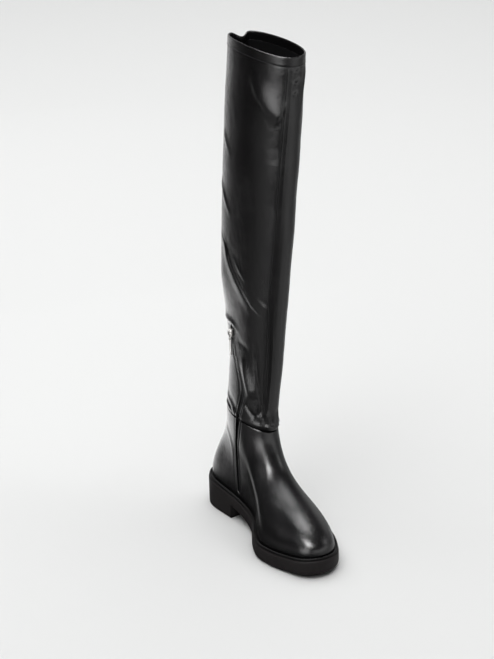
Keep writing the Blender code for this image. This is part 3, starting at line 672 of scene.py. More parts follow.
def smoothRoute(points, count):
    keys = np.linspace(0, 1, len(points))
    table = [(k, *p) for k, p in zip(keys, points)]
    at = np.linspace(0, 1, count)
    return [through(at, table, c + 1) for c in range(len(points[0]))]


def creaseField(places, crease, surface=legPoint, spacing=0.0012):
    # rise that one crease gives to every place of a skin
    riseBy, left, right, trough, fadeIn, fadeOut, path = crease
    heights, turns = smoothRoute(path, 24)
    rough = np.array([onSurface(surface, z / 1000, t)[0] for z, t in zip(heights, turns)])
    run = np.linalg.norm(np.diff(rough, axis=0), axis=1).sum()
    count = max(int(run / spacing), 12)
    heights, turns = smoothRoute(path, count)
    shares = shareAt(surface, heights / 1000, turns)
    line = surface(shares, turns)
    normals = outward(surface, shares, turns)
    along = np.gradient(line, axis=0)
    along /= np.linalg.norm(along, axis=1, keepdims=True)
    leftward = np.cross(along, normals)
    widths = left / 1000, right / 1000
    reach = 3.4 * max(widths)
    low = line.min(0) - reach
    high = line.max(0) + reach
    flat = places.reshape(-1, 3)
    near = np.flatnonzero(((flat > low) & (flat < high)).all(1))
    field = np.zeros(len(flat))
    for part in np.array_split(near, max(len(near) // 6000, 1)):
        if not len(part):
            continue
        apart = flat[part][:, None, :] - line[None]
        nearest = (apart ** 2).sum(2).argmin(1)
        step = apart[np.arange(len(part)), nearest]
        side = (step * leftward[nearest]).sum(1)
        beyond = np.clip(np.abs((step * along[nearest]).sum(1)) - spacing, 0, None)
        share = nearest / (count - 1)
        strength = ease(share, 0, max(fadeIn, 0.01)) * (1 - ease(share, 1 - max(fadeOut, 0.01), 1))
        strength = strength * bell(beyond, 0.003)
        form = np.where(side > 0, bell(side, widths[0]), bell(side, widths[1]))
        form = form - trough * bell(side + 2.1 * widths[1], 1.1 * widths[1])
        depthwise = np.abs((step * normals[nearest]).sum(1))
        field[part] = riseBy / 1000 * strength * form * bell(depthwise, 0.03)
    return field.reshape(places.shape[:-1])


def onSurface(surface, z, turn):
    share = shareAt(surface, z, turn)
    return surface(share, turn), outward(surface, share, turn)


def noiseField(places, size, seed):
    flat = places.reshape(-1, 3)
    values = [noise.noise(Vector(p) / size + Vector((seed, 0, 0))) for p in flat]
    return np.array(values).reshape(places.shape[:-1])


def shaftRows(look):
    hem = 1 - look["hemHeight"] / legSpan
    dense, middleTo = look["denseTo"] / legSpan, look["middleTo"] / legSpan
    low = np.linspace(0, dense, look["denseRows"])
    middle = np.linspace(dense, middleTo, look["middleRows"])[1:]
    high = np.linspace(middleTo, hem - 0.001, look["upperRows"])[1:]
    return np.concatenate([low, middle, high, np.linspace(hem, 1.0, 9)]), hem


def spread(start, end, count):
    return [mix(start, end, k / count) for k in range(1, count + 1)]


def shaftTurns(shares, look):
    # turns of each row's columns, and each column's distance from the strip and from the zip's edge
    centre = zipTurnOnRow(legPoint, shares)
    height = legPoint(shares, centre)[:, 2]
    parted = 1 - ease(height, zipForm["top"] - 0.007, zipForm["top"] + 0.002)
    metre = turnStep(legPoint, shares, centre, 1.0)
    slit = metre * zipForm["slit"] / 2 * parted * mix(look["closing"], 1.0, ease(height, 0.205, 0.236))
    strip = 1 + through(shares, legForm["strip"], 1)
    metreFront = turnStep(legPoint, shares, strip, 1.0)
    half = metreFront * look["stripWidth"] / 2
    run = metreFront * look["stripRun"]
    edge = look["edgeSteps"]
    front = [centre + slit + metre * e for e in edge]
    front += spread(front[-1], strip - half - run, look["frontColumns"])
    front += spread(strip - half - run, strip - half, look["stepColumns"])
    front += spread(strip - half, strip + half, look["stripColumns"])
    front += spread(strip + half, strip + half + run, look["stepColumns"])
    front += spread(strip + half + run, centre + 1 - slit - metre * edge[-1], look["aroundColumns"])
    front += [centre + 1 - slit - metre * e for e in edge[::-1][1:]]
    turns = np.stack(front, 1)
    fromStrip = (turns - strip[:, None]) / metreFront[:, None]
    fromEdge = np.minimum(turns - turns[:, :1], turns[:, -1:] - turns) / metre[:, None]
    return turns, fromStrip, fromEdge, parted


def shaftSkin(look):
    shares, hem = shaftRows(look)
    turns, fromStrip, fromEdge, parted = shaftTurns(shares, look)
    rows = np.repeat(shares[:, None], turns.shape[1], 1)
    places = legPoint(rows, turns)
    normals = outward(legPoint, rows, turns)
    lift = np.zeros(rows.shape)
    for crease in creases:
        lift += creaseField(places, crease)
    waves = look["waveHeight"] * noiseField(places, 0.045, 3.1)
    lift += waves * ease(rows, 0.02, 0.2) * (1 - ease(rows, 0.9, 1.0))
    lift += look["rippleHeight"] * noiseField(places, 0.011, 8.7)
    ends = ease(rows, 0.0, 0.04) * (1 - ease(rows, hem - 0.01, hem))
    for across, width, rise in look["stripLines"]:
        lift += rise * bell(fromStrip - across, width) * ends
    lift += look["hemRaise"] * ease(rows, hem - 0.0004, hem + 0.001) - 0.0003 * bell(rows - hem, 0.0012)
    # stitched folds along the zip, pressed down to the tape at the slit
    beside, width = look["edgeLine"]
    rolled = (1 - ease(fromEdge, 0.0, look["edgeRoll"])) * parted[:, None]
    lift -= rolled * (legForm["wall"] + look["pressed"])
    lift -= look["pressed"] * bell(fromEdge - beside, width) * parted[:, None]
    # drawn in under the foot part at the seam
    above = places[..., 2] - seamHeight(turns)
    high, width, rise = look["swell"]
    lift -= (footForm["wall"] + look["pressed"]) * (1 - ease(above, 0.0, look["drawnIn"]))
    lift += (rise + rise * bell(turns - 1.0, 0.1)) * bell(above - high, width)
    skin = places + normals * lift[..., None]
    tucks = [skin[0] - np.array([0, 0, down]) for down in look["tuck"]]
    rim = []
    radius = look["rimWall"] / 2
    for k in range(1, look["rimRows"] + 1):
        angle = math.pi * k / look["rimRows"]
        rise = np.array([0, 0, radius * math.sin(angle)])
        rim.append(skin[-1] - normals[-1] * radius * (1 - math.cos(angle)) + rise)
    for k in look["turnInRows"]:
        inner = legPoint(np.full(turns.shape[1], 1 - look["turnIn"] * k / legSpan), turns[-1])
        rim.append(inner + normals[-1] * (look["hemRaise"] - look["rimWall"]))
    points = np.concatenate([np.array(tucks), skin, np.array(rim)])
    bm = skinMesh(points, len(tucks) + int(np.argmax(parted <= 0)), len(points))
    return makePiece("shaft_leather", bm, [shaftLeather], instead=("shaft",))


shaftPiece = shaftSkin(shaft)
print("shaft skin:", len(shaftPiece.data.polygons), "faces")

lining = {"depth": 0.0024, "columns": 120, "rows": 90, "topDrop": 0.0105, "seamInset": 0.0085,
          "tuck": 0.01}


def shaftLining(look):
    shares = np.linspace(0.0, 1 - look["topDrop"] / legSpan, look["rows"])
    centre = zipTurnOnRow(legPoint, shares)
    height = legPoint(shares, centre)[:, 2]
    parted = 1 - ease(height, zipForm["top"] + 0.002, zipForm["top"] + 0.012)
    slit = turnStep(legPoint, shares, centre, 1.0) * look["seamInset"] * parted
    # the columns run the other way round, so that the faces look inwards
    start = centre + 1 - slit
    turns = np.stack([start] + spread(start, centre + slit, look["columns"]), 1)
    rows = np.repeat(shares[:, None], turns.shape[1], 1)
    places = legPoint(rows, turns) - outward(legPoint, rows, turns) * look["depth"]
    low = places[0] - np.array([0, 0, look["tuck"]])
    low = low + (low.mean(0) - low) * np.array([0.1, 0.06, 0])
    points = np.concatenate([low[None], places])
    bm = skinMesh(points, 1 + int(np.argmax(parted <= 0)), len(points))
    return makePiece("shaft_lining", bm, [liningCloth])


shaftLining(lining)
print("lining ready")

# Foot part
foot = {
    "columns": 250,
    "rows": 110,
    "slit": 0.0068,
    "edgeSteps": (0.0, 0.0004, 0.0011, 0.0021, 0.0034),
    "waveHeight": 0.0004,
    # groove and ridge along the zip: distance, width, rise
    "edgeLines": [(0.0031, 0.0009, -0.0004), (0.0012, 0.0009, 0.0003)],
}

footCreases = [
    # soft bend over the vamp, below the inner highlight
    (-0.4, 12.0, 11.0, 0.0, 0.4, 0.4, [(50, 0.79), (56, 0.82), (60, 0.85), (63, 0.885), (66, 0.93),
        (67, 0.975)]),
    # pulled lines at the heel
    (0.7, 3.0, 3.0, 0.3, 0.2, 0.5, [(112, 0.61), (107, 0.65), (98, 0.674), (80, 0.678), (62, 0.682)]),
    # instep crest
    (0.8, 8.0, 8.0, 0.0, 0.4, 0.4, [(118, 0.945), (103, 0.93), (88, 0.916), (76, 0.895)]),
]


def footSkin(look):
    shares = np.linspace(0, 1, look["rows"])
    centre = zipTurnOnRow(footPoint, shares)
    metre = turnStep(footPoint, shares, centre, 1.0)
    parted = ease(footPoint(shares, centre)[:, 2], zipFoot - 0.0015, zipFoot + 0.0035)
    slit = metre * look["slit"] / 2 * parted
    edge = look["edgeSteps"]
    turns = [centre + slit + metre * e for e in edge]
    turns += spread(turns[-1], centre + 1 - slit - metre * edge[-1], look["columns"])
    turns += [centre + 1 - slit - metre * e for e in edge[::-1][1:]]
    turns = np.stack(turns, 1)
    rows = np.repeat(shares[:, None], turns.shape[1], 1)
    places = footPoint(rows, turns)
    lift = look["waveHeight"] * noiseField(places, 0.035, 5.5) * ease(rows, 0.05, 0.3)
    for crease in footCreases:
        lift += creaseField(places, crease, footPoint)
    near = np.minimum(turns - turns[:, :1], turns[:, -1:] - turns) / metre[:, None]
    for beside, width, rise in look["edgeLines"]:
        lift += rise * bell(near - beside, width) * parted[:, None]
    points = places + outward(footPoint, rows, turns) * lift[..., None]
    bm = skinMesh(points, 0, int(np.argmax(parted > 0)))
    piece = makePiece("foot_leather", bm, [footLeather, liningCloth], instead=("upper",))
    return wall(piece, footForm["wall"], 1)


footSkin(foot)
print("foot part ready")

# Outsole, heel block, tread bars and welt
sole = {
    "columns": 360,
    "rounding": 0.0042,
    "wall": [(0.0, 1.0), (0.02, 0.75), (0.05, 0.52), (0.09, 0.33), (0.14, 0.18), (0.2, 0.08), (0.28, 0.02),
             (0.36, 0.0), (0.6, 0.0), (0.84, 0.0), (0.9, 0.03), (0.94, 0.1), (0.97, 0.22), (0.99, 0.36),
             (1.0, 0.5)],
    "across": 40,
}


def capRows(loop, across):
    # rows of places from the loop's one side to the other, ends of the loop as poles
    pairs = [(loop[-i % len(loop)], loop[i]) for i in range(len(loop) // 2 + 1)]
    return np.array([[mix(left, right, k / across) for k in range(across + 1)] for left, right in pairs])


tread = {"pitch": 0.0085, "width": 0.005, "from": -0.052, "to": -0.215, "edge": 0.009, "depth": 0.0012,
         "corner": 0.002, "hollow": 0.001, "rim": 3}


def soleBody(look):
    turns = np.arange(look["columns"]) / look["columns"]
    rings = []
    breast = heelBack - lastForm["blockLength"]
    for share, inset in look["wall"]:
        # no rounding where the heel block carries on below
        y = edgePlan(turns)[1]
        carried = ease(y, breast - 0.003, breast + 0.001) * (share < 0.5)
        x, y = insetPlan(turns, inset * look["rounding"] * (1 - carried))
        rings.append(placed(x, y, mix(soleUnderside(y), soleTop(y), share)))
    points = np.array(rings)
    points = np.concatenate([points, points[:, :1]], 1)
    bm = skinMesh(points)
    for ring, upwards in ((rings[0], False), (rings[-1], True)):
        cap = capRows(ring, look["across"])
        if not upwards:
            # sunk field between the tread's bars
            y = cap[:, 0, 1] - stand[1]
            field = (y < tread["from"] + tread["width"]) & (y > tread["to"] - tread["width"])
            cap[:, tread["rim"]:-tread["rim"], 2] += tread["hollow"] * field[:, None]
            cap = cap[::-1]
        merged(bm, skinMesh(cap[::-1]))
    bmesh.ops.remove_doubles(bm, verts=bm.verts, dist=1e-6)
    bmesh.ops.dissolve_degenerate(bm, edges=bm.edges, dist=1e-7)
    bmesh.ops.recalc_face_normals(bm, faces=bm.faces)
    return makePiece("outsole_body", bm, [soleRubber], instead=("outsole",), sharp=50)


soleBody(sole)

heelBlock = {
    "columns": 360,
    "tip": 0.0062,
    "breastHollow": 0.004,
    "breastSteps": 24,
}


def heelLoop(look, inset):
    breast = heelBack - lastForm["blockLength"] + lastForm["gap"]
    x, y = insetPlan(np.arange(look["columns"]) / look["columns"], inset)
    rear = [(a, b) for a, b in zip(x, y) if b > breast + 0.0006]
    shares = np.linspace(0, 1, look["breastSteps"] + 1)
    hollow = breast + look["breastHollow"] * np.sin(math.pi * shares)
    return np.array(rear + list(zip(mix(rear[-1][0], rear[0][0], shares), hollow)))


def heelBody(look):
    tip = look["tip"]
    rows = [(0.0, 0.0014), (0.0002, 0.0009), (0.0006, 0.0005), (0.0012, 0.0003), (tip, 0.0002)]
    rings = []
    for z, inset in rows:
        loop = heelLoop(look, inset)
        rings.append(placed(loop[:, 0], loop[:, 1], z))
    for share, inset in ((0.5, 0.0001), (1.0, 0.0)):
        loop = heelLoop(look, inset)
        top = heelSeat(loop[:, 1])
        rings.append(placed(loop[:, 0], loop[:, 1], mix(tip + 0.0005, top, share)))
    count = min(len(ring) for ring in rings)
    points = np.array([ring[:count] for ring in rings])
    points = np.concatenate([points, points[:, :1]], 1)
    bm = skinMesh(points)
    bmesh.ops.remove_doubles(bm, verts=bm.verts, dist=1e-6)
    bmesh.ops.holes_fill(bm, edges=[e for e in bm.edges if e.is_boundary], sides=0)
    bmesh.ops.recalc_face_normals(bm, faces=bm.faces)
    return makePiece("heel_block", bm, [soleRubber], instead=("heel",), sharp=40)


heelBody(heelBlock)


def treadBars(look):
    # bars under the forefoot, from one side of the outline to the other
    bm = bmesh.new()
    turns = np.linspace(0, 0.5, 400)
    rightX, rightY = insetPlan(turns, look["edge"])
    leftX, leftY = insetPlan(-turns, look["edge"])
    y = look["from"]
    while y > look["to"]:
        right = np.interp(-y, -rightY, rightX)
        left = np.interp(-y, -leftY, leftX)
        made = bmesh.ops.create_cube(bm, size=1.0)["verts"]
        bmesh.ops.scale(bm, vec=(right - left, look["width"], look["depth"]), verts=made)
        bent = bevelled(bm, uprights({e for v in made for e in v.link_edges}), look["corner"], 4)
        place = placed((right + left) / 2, y, soleUnderside(y) + look["depth"] / 2)
        bar = {v for f in bent for v in f.verts} | {v for v in made if v.is_valid}
        bmesh.ops.translate(bm, vec=Vector(place), verts=list(bar))
        y -= look["pitch"]
    return makePiece("sole_tread", bm, [treadRubber], sharp=40)


treadBars(tread)


welt = {
    "columns": 360,
    "height": 0.0026,
    # inset share of the margin, share of the height: a rolled bead, a groove for the stitches, a foot
    "section": [
        (0.87, 0.0), (0.3, 0.0), (0.21, 0.12), (0.17, 0.35), (0.18, 0.62), (0.23, 0.84), (0.31, 0.97),
        (0.4, 1.0), (0.48, 0.95), (0.54, 0.8), (0.59, 0.66), (0.66, 0.6), (0.74, 0.64), (0.87, 0.66),
    ],
    "stitchInset": 0.44,
    # pitch, length and radius of a stitch
    "stitch": (0.0036, 0.0026, 0.0005),
}


def weltBand(look):
    turns = np.arange(look["columns"] + 1) / look["columns"]
    rings = []
    for inset, share in look["section"] + look["section"][:1]:
        x, y = insetPlan(turns, inset * lastForm["margin"])
        rings.append(placed(x, y, soleTop(y) + lastForm["gap"] + look["height"] * share))
    bm = skinMesh(np.array(rings))
    bmesh.ops.remove_doubles(bm, verts=bm.verts, dist=1e-6)
    bmesh.ops.recalc_face_normals(bm, faces=bm.faces)
    makePiece("welt_band", bm, [weltPlastic], instead=("welt",), sharp=60)
    bm = bmesh.new()
    x, y = insetPlan(turns, look["stitchInset"] * lastForm["margin"])
    line = placed(x, y, soleTop(y) + lastForm["gap"] + look["height"])
    up = np.tile(np.array([0.0, 0.0, 1.0]), (len(line), 1))
    stitchRun(bm, line, up, *look["stitch"])
    makePiece("welt_stitches", bm, [weltThread])


weltBand(welt)
print("sole ready")

# Zip: woven tape, two rows of teeth, slider with its ring and tab
zipParts = {
    "tapeColumns": 12,
    "tapeRows": 150,
    "toothPitch": 0.00135,
    "toothReach": 0.0021,
    "toothWidth": 0.00085,
    "toothOffset": 0.0008,
}


def zipAt(z):
    turn = zipTurn(z)
    onFoot = z < seamHeight(turn)
    footShare = shareAt(footPoint, z, turn)
    legShare = shareAt(legPoint, z, turn)
    return turn, onFoot, footShare, legShare


def zipPlaces(z, offsets, depth):
    # places across the zip at heights z: offsets in metres along the surface, depth below it
    turn, onFoot, footShare, legShare = zipAt(z)
    rows = []
    for offset in offsets:
        pair = []
        for surface, share in ((footPoint, footShare), (legPoint, legShare)):
            at = turn + turnStep(surface, share, turn, 1.0) * offset
            pair.append(surface(share, at) - outward(surface, share, at) * np.reshape(depth, (-1, 1)))
        rows.append(np.where(onFoot[:, None], pair[0], pair[1]))
    return np.stack(rows, 1)


def zipNormals(z):
    turn, onFoot, footShare, legShare = zipAt(z)
    return np.where(onFoot[:, None], outward(footPoint, footShare, turn), outward(legPoint, legShare, turn))


def tapeDepth(z):
    gap = lastForm["gap"]
    seam = seamHeight(zipTurn(z))
    below = footForm["wall"] + 2 * gap
    tucked = footForm["wall"] + legForm["wall"] + 3 * gap
    above = legForm["wall"] + 2 * gap
    low = mix(below, tucked, ease(z, seam - 0.016, seam - 0.01))
    high = mix(tucked, above, ease(z, seam + 0.001, seam + 0.009))
    return np.where(z < seam, low, high)


def zipTape(look):
    low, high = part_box("zip_tape")
    z = np.linspace(low[2] + 0.0005, high[2] - 0.0003, look["tapeRows"])
    offsets = np.linspace(-0.5, 0.5, look["tapeColumns"] + 1) * zipForm["tapeWidth"]
    bm = skinMesh(zipPlaces(z, offsets, tapeDepth(z)))
    piece = makePiece("zip_tape_woven", bm, [tapeCloth], instead=("zip_tape",))
    return wall(piece, zipForm["tapeThickness"])


def zipTeeth(look):
    bm = bmesh.new()
    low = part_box("zip_teeth")[0][2]
    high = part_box("zip_teeth")[1][2] - 0.001
    count = int((high - low) / look["toothPitch"])
    z = np.linspace(low, high, count)
    thick = zipForm["teethThickness"]
    places = zipPlaces(z, (-look["toothOffset"], 0.0, look["toothOffset"]), tapeDepth(z) - thick / 2 - 0.0001)
    normals = zipNormals(z)
    size = Matrix.Diagonal((look["toothReach"] / 2, look["toothWidth"] / 2, thick / 2, 1))
    for k in range(1, count - 1):
        up = Vector(places[k + 1, 1] - places[k - 1, 1]).normalized()
        side = up.cross(Vector(normals[k]).normalized()).normalized()
        turnTo = frameAt(side, up, side.cross(up), Vector(places[k, 0 if k % 2 else 2]))
        bmesh.ops.create_uvsphere(bm, u_segments=8, v_segments=4, radius=1.0, matrix=turnTo @ size)
    return makePiece("zip_coil", bm, [toothPlastic], instead=("zip_teeth",))


zipTape(zipParts)
zipTeeth(zipParts)

slider = {
    "length": 0.01,
    "width": 0.0076,
    "thickness": 0.0022,
    "pivotGap": 0.00035,
    "wire": 0.0006,
    "bridge": 0.002,
    "sway": 8.0,
    "ringWidth": 0.007,
    "ringHeight": 0.01,
    "ringCorner": 0.0016,
    "pullLength": 0.021,
    "pullWidth": 0.0042,
    "pullThickness": 0.0012,
    "eyeRim": 0.0008,
    "eyeWidth": 0.0022,
    # lower and upper radius and height
    "crown": (0.0029, 0.0024, 0.0007),
    # width, share of the length, height
    "waist": (0.004, 0.8, 0.0026),
    "tabCorner": 0.0013,
    "panelRim": 0.0006,
    # width and depth
    "panelStep": (0.0002, -0.00015),
    "tabEdge": 0.00022,
}


def sliderPlace():
    z = np.array([zipForm["top"] - zipForm["sliderBelowTop"]])
    turn = zipTurn(z)
    share = shareAt(legPoint, z, turn)
    out = Vector(outward(legPoint, share, turn)[0])
    side = Vector((legPoint(share, turn + 0.003) - legPoint(share, turn - 0.003))[0]).normalized()
    return frameAt(side, out.cross(side).normalized(), out, Vector(legPoint(share, turn)[0]))


def roundedBlock(bm, size, centre, rounding):
    made = bmesh.ops.create_cube(bm, size=1.0)["verts"]
    bmesh.ops.scale(bm, vec=size, verts=made)
    bmesh.ops.translate(bm, vec=centre, verts=made)
    bevelled(bm, list({e for v in made for e in v.link_edges}), rounding, 3)


def wireMesh(name, points, radius, cyclic, place):
    line = bpy.data.curves.new(name, "CURVE")
    line.dimensions = "3D"
    line.bevel_depth = radius
    line.bevel_resolution = 3
    line.use_fill_caps = True
    spline = line.splines.new("POLY")
    spline.points.add(len(points) - 1)
    for point, spot in zip(spline.points, points):
        point.co = (*spot, 1)
    spline.use_cyclic_u = cyclic
    guide = linked(name + "_line", line)
    mesh = bpy.data.meshes.new_from_object(guide.evaluated_get(bpy.context.evaluated_depsgraph_get()))
    bpy.data.objects.remove(guide, do_unlink=True)
    bm = bmesh.new()
    bm.from_mesh(mesh)
    bpy.data.meshes.remove(mesh)
    bmesh.ops.remove_doubles(bm, verts=bm.verts, dist=1e-6)
    bmesh.ops.recalc_face_normals(bm, faces=bm.faces)
    bmesh.ops.transform(bm, matrix=place, verts=bm.verts)
    return bm


def zipHardware(look):
    place = sliderPlace()
    gap = lastForm["gap"]
    pivotRise = gap + look["thickness"] + look["pivotGap"] + look["wire"]
    # body: two rounded plates, a narrower waist between them, a domed crown and a bridge over the ring
    bm = bmesh.new()
    width, length, thick = look["width"], look["length"], look["thickness"]
    roundedBlock(bm, (width, length, thick * 0.55), (0, 0, gap + thick * 0.7), 0.0005)
    roundedBlock(bm, (width * 0.92, length * 0.94, thick * 0.45), (0, 0, gap + thick * 0.25), 0.0003)
    waist, share, high = look["waist"]
    roundedBlock(bm, (waist, length * share, high), (0, 0, -0.0006), 0.0003)
    wide, narrow, rise = look["crown"]
    bmesh.ops.create_cone(
        bm, cap_ends=True, segments=32, radius1=wide, radius2=narrow, depth=rise,
        matrix=Matrix.Translation((0, length * 0.16, gap + thick + 0.0002)),
    )
    bmesh.ops.transform(bm, matrix=place, verts=bm.verts)
    top = pivotRise + look["wire"] + look["pivotGap"] + look["bridge"] / 2
    end = length / 2 - look["bridge"] / 2 - 0.0004
    arch = [(0, -end, gap + thick / 2)]
    for k in range(9):
        angle = math.pi * k / 8
        arch.append((0, -end * math.cos(angle), mix(gap + thick, top, math.sin(angle) ** 0.5)))
    arch.append((0, end, gap + thick / 2))
    merged(bm, wireMesh("bridge", arch, look["bridge"] / 2 * 0.9, False, place))
    makePiece("zip_slider_body", bm, [zipMetal], instead=("zip_slider",), sharp=40)
    sway = Matrix.Rotation(math.radians(look["sway"]), 4, "Z")
    ringPlace = place @ Matrix.Translation((0, 0, pivotRise)) @ sway
    half = look["ringWidth"] / 2 - look["wire"]
    drop = look["ringHeight"] - 2 * look["wire"]
    corner = look["ringCorner"]
    loop = []
    for across, low, start in ((1, 0, 0), (-1, 0, 90), (-1, 1, 180), (1, 1, 270)):
        cx = across * (half - corner)
        cy = corner - drop if low else -corner
        for step in range(9):
            angle = math.radians(start + 90 * step / 8)
            loop.append((cx + corner * math.cos(angle), cy + corner * math.sin(angle), 0))
    bm = wireMesh("ring", loop, look["wire"], True, ringPlace)
    makePiece("zip_ring_wire", bm, [zipMetal], "ring", ("zip_ring",))
    # tab: a bevelled plate with a sunk panel, and an eye round the ring's lower wire
    pullPlace = ringPlace @ Matrix.Translation((0, 2 * look["wire"] - look["ringHeight"], 0))
    bm = bmesh.new()
    hole = look["wire"] + look["pivotGap"]
    plate = look["pullLength"] - hole
    made = bmesh.ops.create_cube(bm, size=1.0)["verts"]
    bmesh.ops.scale(bm, vec=(look["pullWidth"], plate, look["pullThickness"]), verts=made)
    bmesh.ops.translate(bm, vec=(0, -hole - plate / 2 - look["eyeRim"] * 0.2, 0), verts=made)
    bevelled(bm, uprights(bm.edges), look["tabCorner"], 5)
    faces = [f for f in bm.faces if abs(f.normal.z) > 0.9]
    bmesh.ops.inset_individual(bm, faces=faces, thickness=look["panelRim"], depth=0.0)
    step, depth = look["panelStep"]
    bmesh.ops.inset_individual(bm, faces=faces, thickness=step, depth=depth)
    bevelled(bm, [e for e in bm.edges if e.calc_face_angle(0) > 1.0], look["tabEdge"], 2)
    eye = bmesh.new()
    rim = hole + look["eyeRim"]
    half = look["eyeWidth"] / 2
    ring = [eye.verts.new(p) for p in ((-half, hole, 0), (half, hole, 0), (half, rim, 0), (-half, rim, 0))]
    section = [eye.edges.new((ring[i], ring[(i + 1) % 4])) for i in range(4)]
    bmesh.ops.spin(
        eye, geom=ring + section, cent=(0, 0, 0), axis=(1, 0, 0), angle=2 * math.pi, steps=28, use_merge=True
    )
    bmesh.ops.recalc_face_normals(eye, faces=eye.faces)
    merged(bm, eye)
    bmesh.ops.transform(bm, matrix=pullPlace, verts=bm.verts)
    makePiece("zip_tab", bm, [zipMetal], "pull", ("zip_pull",), sharp=40)


zipHardware(slider)
print("zip ready")

# Insole keeps the frame's own solid, with a cloth cover
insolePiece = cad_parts["insole"]
insolePiece.data.materials.clear()
insolePiece.data.materials.append(sockCloth)

# Thread
threads = {
    # pitch, length and radius of a stitch
    "stitch": (0.0032, 0.0022, 0.00032),
    "besideStrip": -0.0032,
    "stripSunk": 0.0006,
    "belowRim": 0.0105,
    "besideZip": 0.0031,
    # clearance of the hem's outer and inner stitches, and of the ankle seam from the zip's
    "hemLifts": (0.0004, 0.0018),
    "clearOfSeam": 0.0035,
}


def seamStitches(look):
    bm = bmesh.new()
    stitch = look["stitch"]
    shares = np.linspace(0.03, 0.975, 400)
    strip = through(shares, legForm["strip"], 1)
    turns = strip + turnStep(legPoint, shares, strip, 1.0) * look["besideStrip"]
    normals = outward(legPoint, shares, turns)
    stitchRun(bm, legPoint(shares, turns) - normals * look["stripSunk"], normals, *stitch)
    turns = np.linspace(0.5, 1.5, 500)
    shares = np.full(500, 1 - look["belowRim"] / legSpan)
    normals = outward(legPoint, shares, turns)
    line = legPoint(shares, turns)
    outer, inner = look["hemLifts"]
    stitchRun(bm, line + normals * outer, normals, *stitch)
    stitchRun(bm, line - normals * inner, -normals, *stitch)
    z = np.linspace(zipFoot + 0.004, zipForm["top"] - 0.006, 300)
    z = z[np.abs(z - seamHeight(zipTurn(z))) > look["clearOfSeam"]]
    normals = zipNormals(z)
    for side in (-1, 1):
        offset = side * (zipForm["slit"] / 2 + look["besideZip"])
        stitchRun(bm, zipPlaces(z, (offset,), np.full(len(z), 0.0001))[:, 0], normals, *stitch)
    return makePiece("seam_stitches", bm, [blackThread])


seamStitches(threads)
print("stitches ready")

# Floor, light and camera
studio = {
    "floor": (0.8, 0.805, 0.8),
    "world": (1.0, 1.0, 1.0),
    "worldStrength": 0.09,
    "wallSeen": 0.8,
    # place, target, width, height, power: kept out of the gloss, which has reflectors of its own
    "lights": [
        ((0.3, 1.3, 3.6), (0.3, 1.3, 0), 5.6, 5.6, 215),
        ((-0.9, -1.2, 2.6), (0, 0, 0.3), 2.4, 2.4, 18),
    ],
}


def staged(name, bm, finishes):
    mesh = meshFrom(name, bm)
    for finish in finishes:
        mesh.materials.append(finish)
    piece = linked(name, mesh)
    return piece


def buildStudio(look):
    bm = bmesh.new()
    bmesh.ops.create_grid(bm, x_segments=2, y_segments=2, size=12.0)
    staged("floor", bm, [startFinish("pale floor", look["floor"], 0.9, Specular_IOR_Level=0.1)[0]])
    world = bpy.data.worlds.new("studio")
    world.use_nodes = True
    backdrop = world.node_tree.nodes["Background"]
    backdrop.inputs["Color"].default_value = (*look["world"], 1)
    # a pale wall to the eye, a dim one to the boot
    add = nodeAdder(world.node_tree)
    seen = add("ShaderNodeLightPath").outputs["Is Camera Ray"]
    strength = scaled(add, seen, look["wallSeen"] - look["worldStrength"], look["worldStrength"])
    world.node_tree.links.new(strength, backdrop.inputs["Strength"])
    bpy.context.scene.world = world
    bpy.context.scene.view_settings.view_transform = "Standard"
    for k, (place, target, width, height, power) in enumerate(look["lights"]):
        lamp = bpy.data.lights.new("softbox%d" % k, "AREA")
        lamp.shape = "RECTANGLE"
        lamp.size = width
        lamp.size_y = height
        lamp.energy = power
        box = linked(lamp.name, lamp)
        box.location = place
        box.rotation_euler = (Vector(target) - Vector(place)).to_track_quat("-Z", "Y").to_euler()
        box.visible_glossy = False


buildStudio(studio)

# Reflectors that only the gloss sees, a floor near the boot, a floor further out and a wall at its edge:
# brightness by direction round the boot, in degrees from +X
reflectors = {
    "columns": 72,
    "strength": 6.0,
    # radius, height and zone of each ring outwards from the boot
    "rings": [(0.28, 0.0015, 0), (0.85, 0.0015, 1), (1.9, 0.0015, 2), (1.9, 0.22, 2), (1.9, 1.0, 3)],
    "zones": [
        [
            (0, 0.15), (50, 0.5), (62, 1.7), (100, 1.7), (110, 0.1), (150, 0.02), (200, 0.08), (222, 0.05),
            (260, 0.1), (280, 0.5), (320, 0.5),
        ],
        [
            (0, 0.15), (50, 0.5), (66, 1.9), (122, 1.9), (133, 0.1), (150, 0.12), (165, 0.42), (184, 0.48),
            (205, 0.26), (222, 0.05), (260, 0.1), (280, 0.6), (320, 0.6),
        ],
        [
            (0, 0.15), (60, 0.45), (80, 1.1), (91, 0.95), (100, 0.28), (112, 0.12), (124, 0.02), (140, 0.0),
            (152, 0.16), (165, 0.36), (184, 0.38), (200, 0.18), (215, 0.05), (250, 0.1), (272, 0.6),
            (300, 0.95), (345, 0.3),
        ],
        [
            (0, 0.3), (50, 0.6), (66, 1.0), (84, 1.0), (108, 0.08), (138, 0.03), (184, 0.03), (193, 5.2),
            (217, 5.2), (233, 0.15), (252, 1.5), (322, 1.5), (345, 0.4),
        ],
    ],
    # place, target, width, height, brightness
    "cards": [
        ((-0.8, -0.6, 2.2), (0, 0, 0.1), 0.9, 0.4, 46.0),
        ((-1.35, -0.9, 1.55), (0, 0, 0.1), 0.22, 1.2, 13.0),
        ((-2.17, 0.38, 1.9), (0, 0, 0.6), 0.9, 0.3, 3.0),
        ((2.1, -0.55, 1.3), (0, 0, 0.4), 0.5, 1.2, 3.5),
        ((0.3, 0.9, 2.4), (0, 0, 0.1), 0.8, 0.8, 24.0),
    ],
}


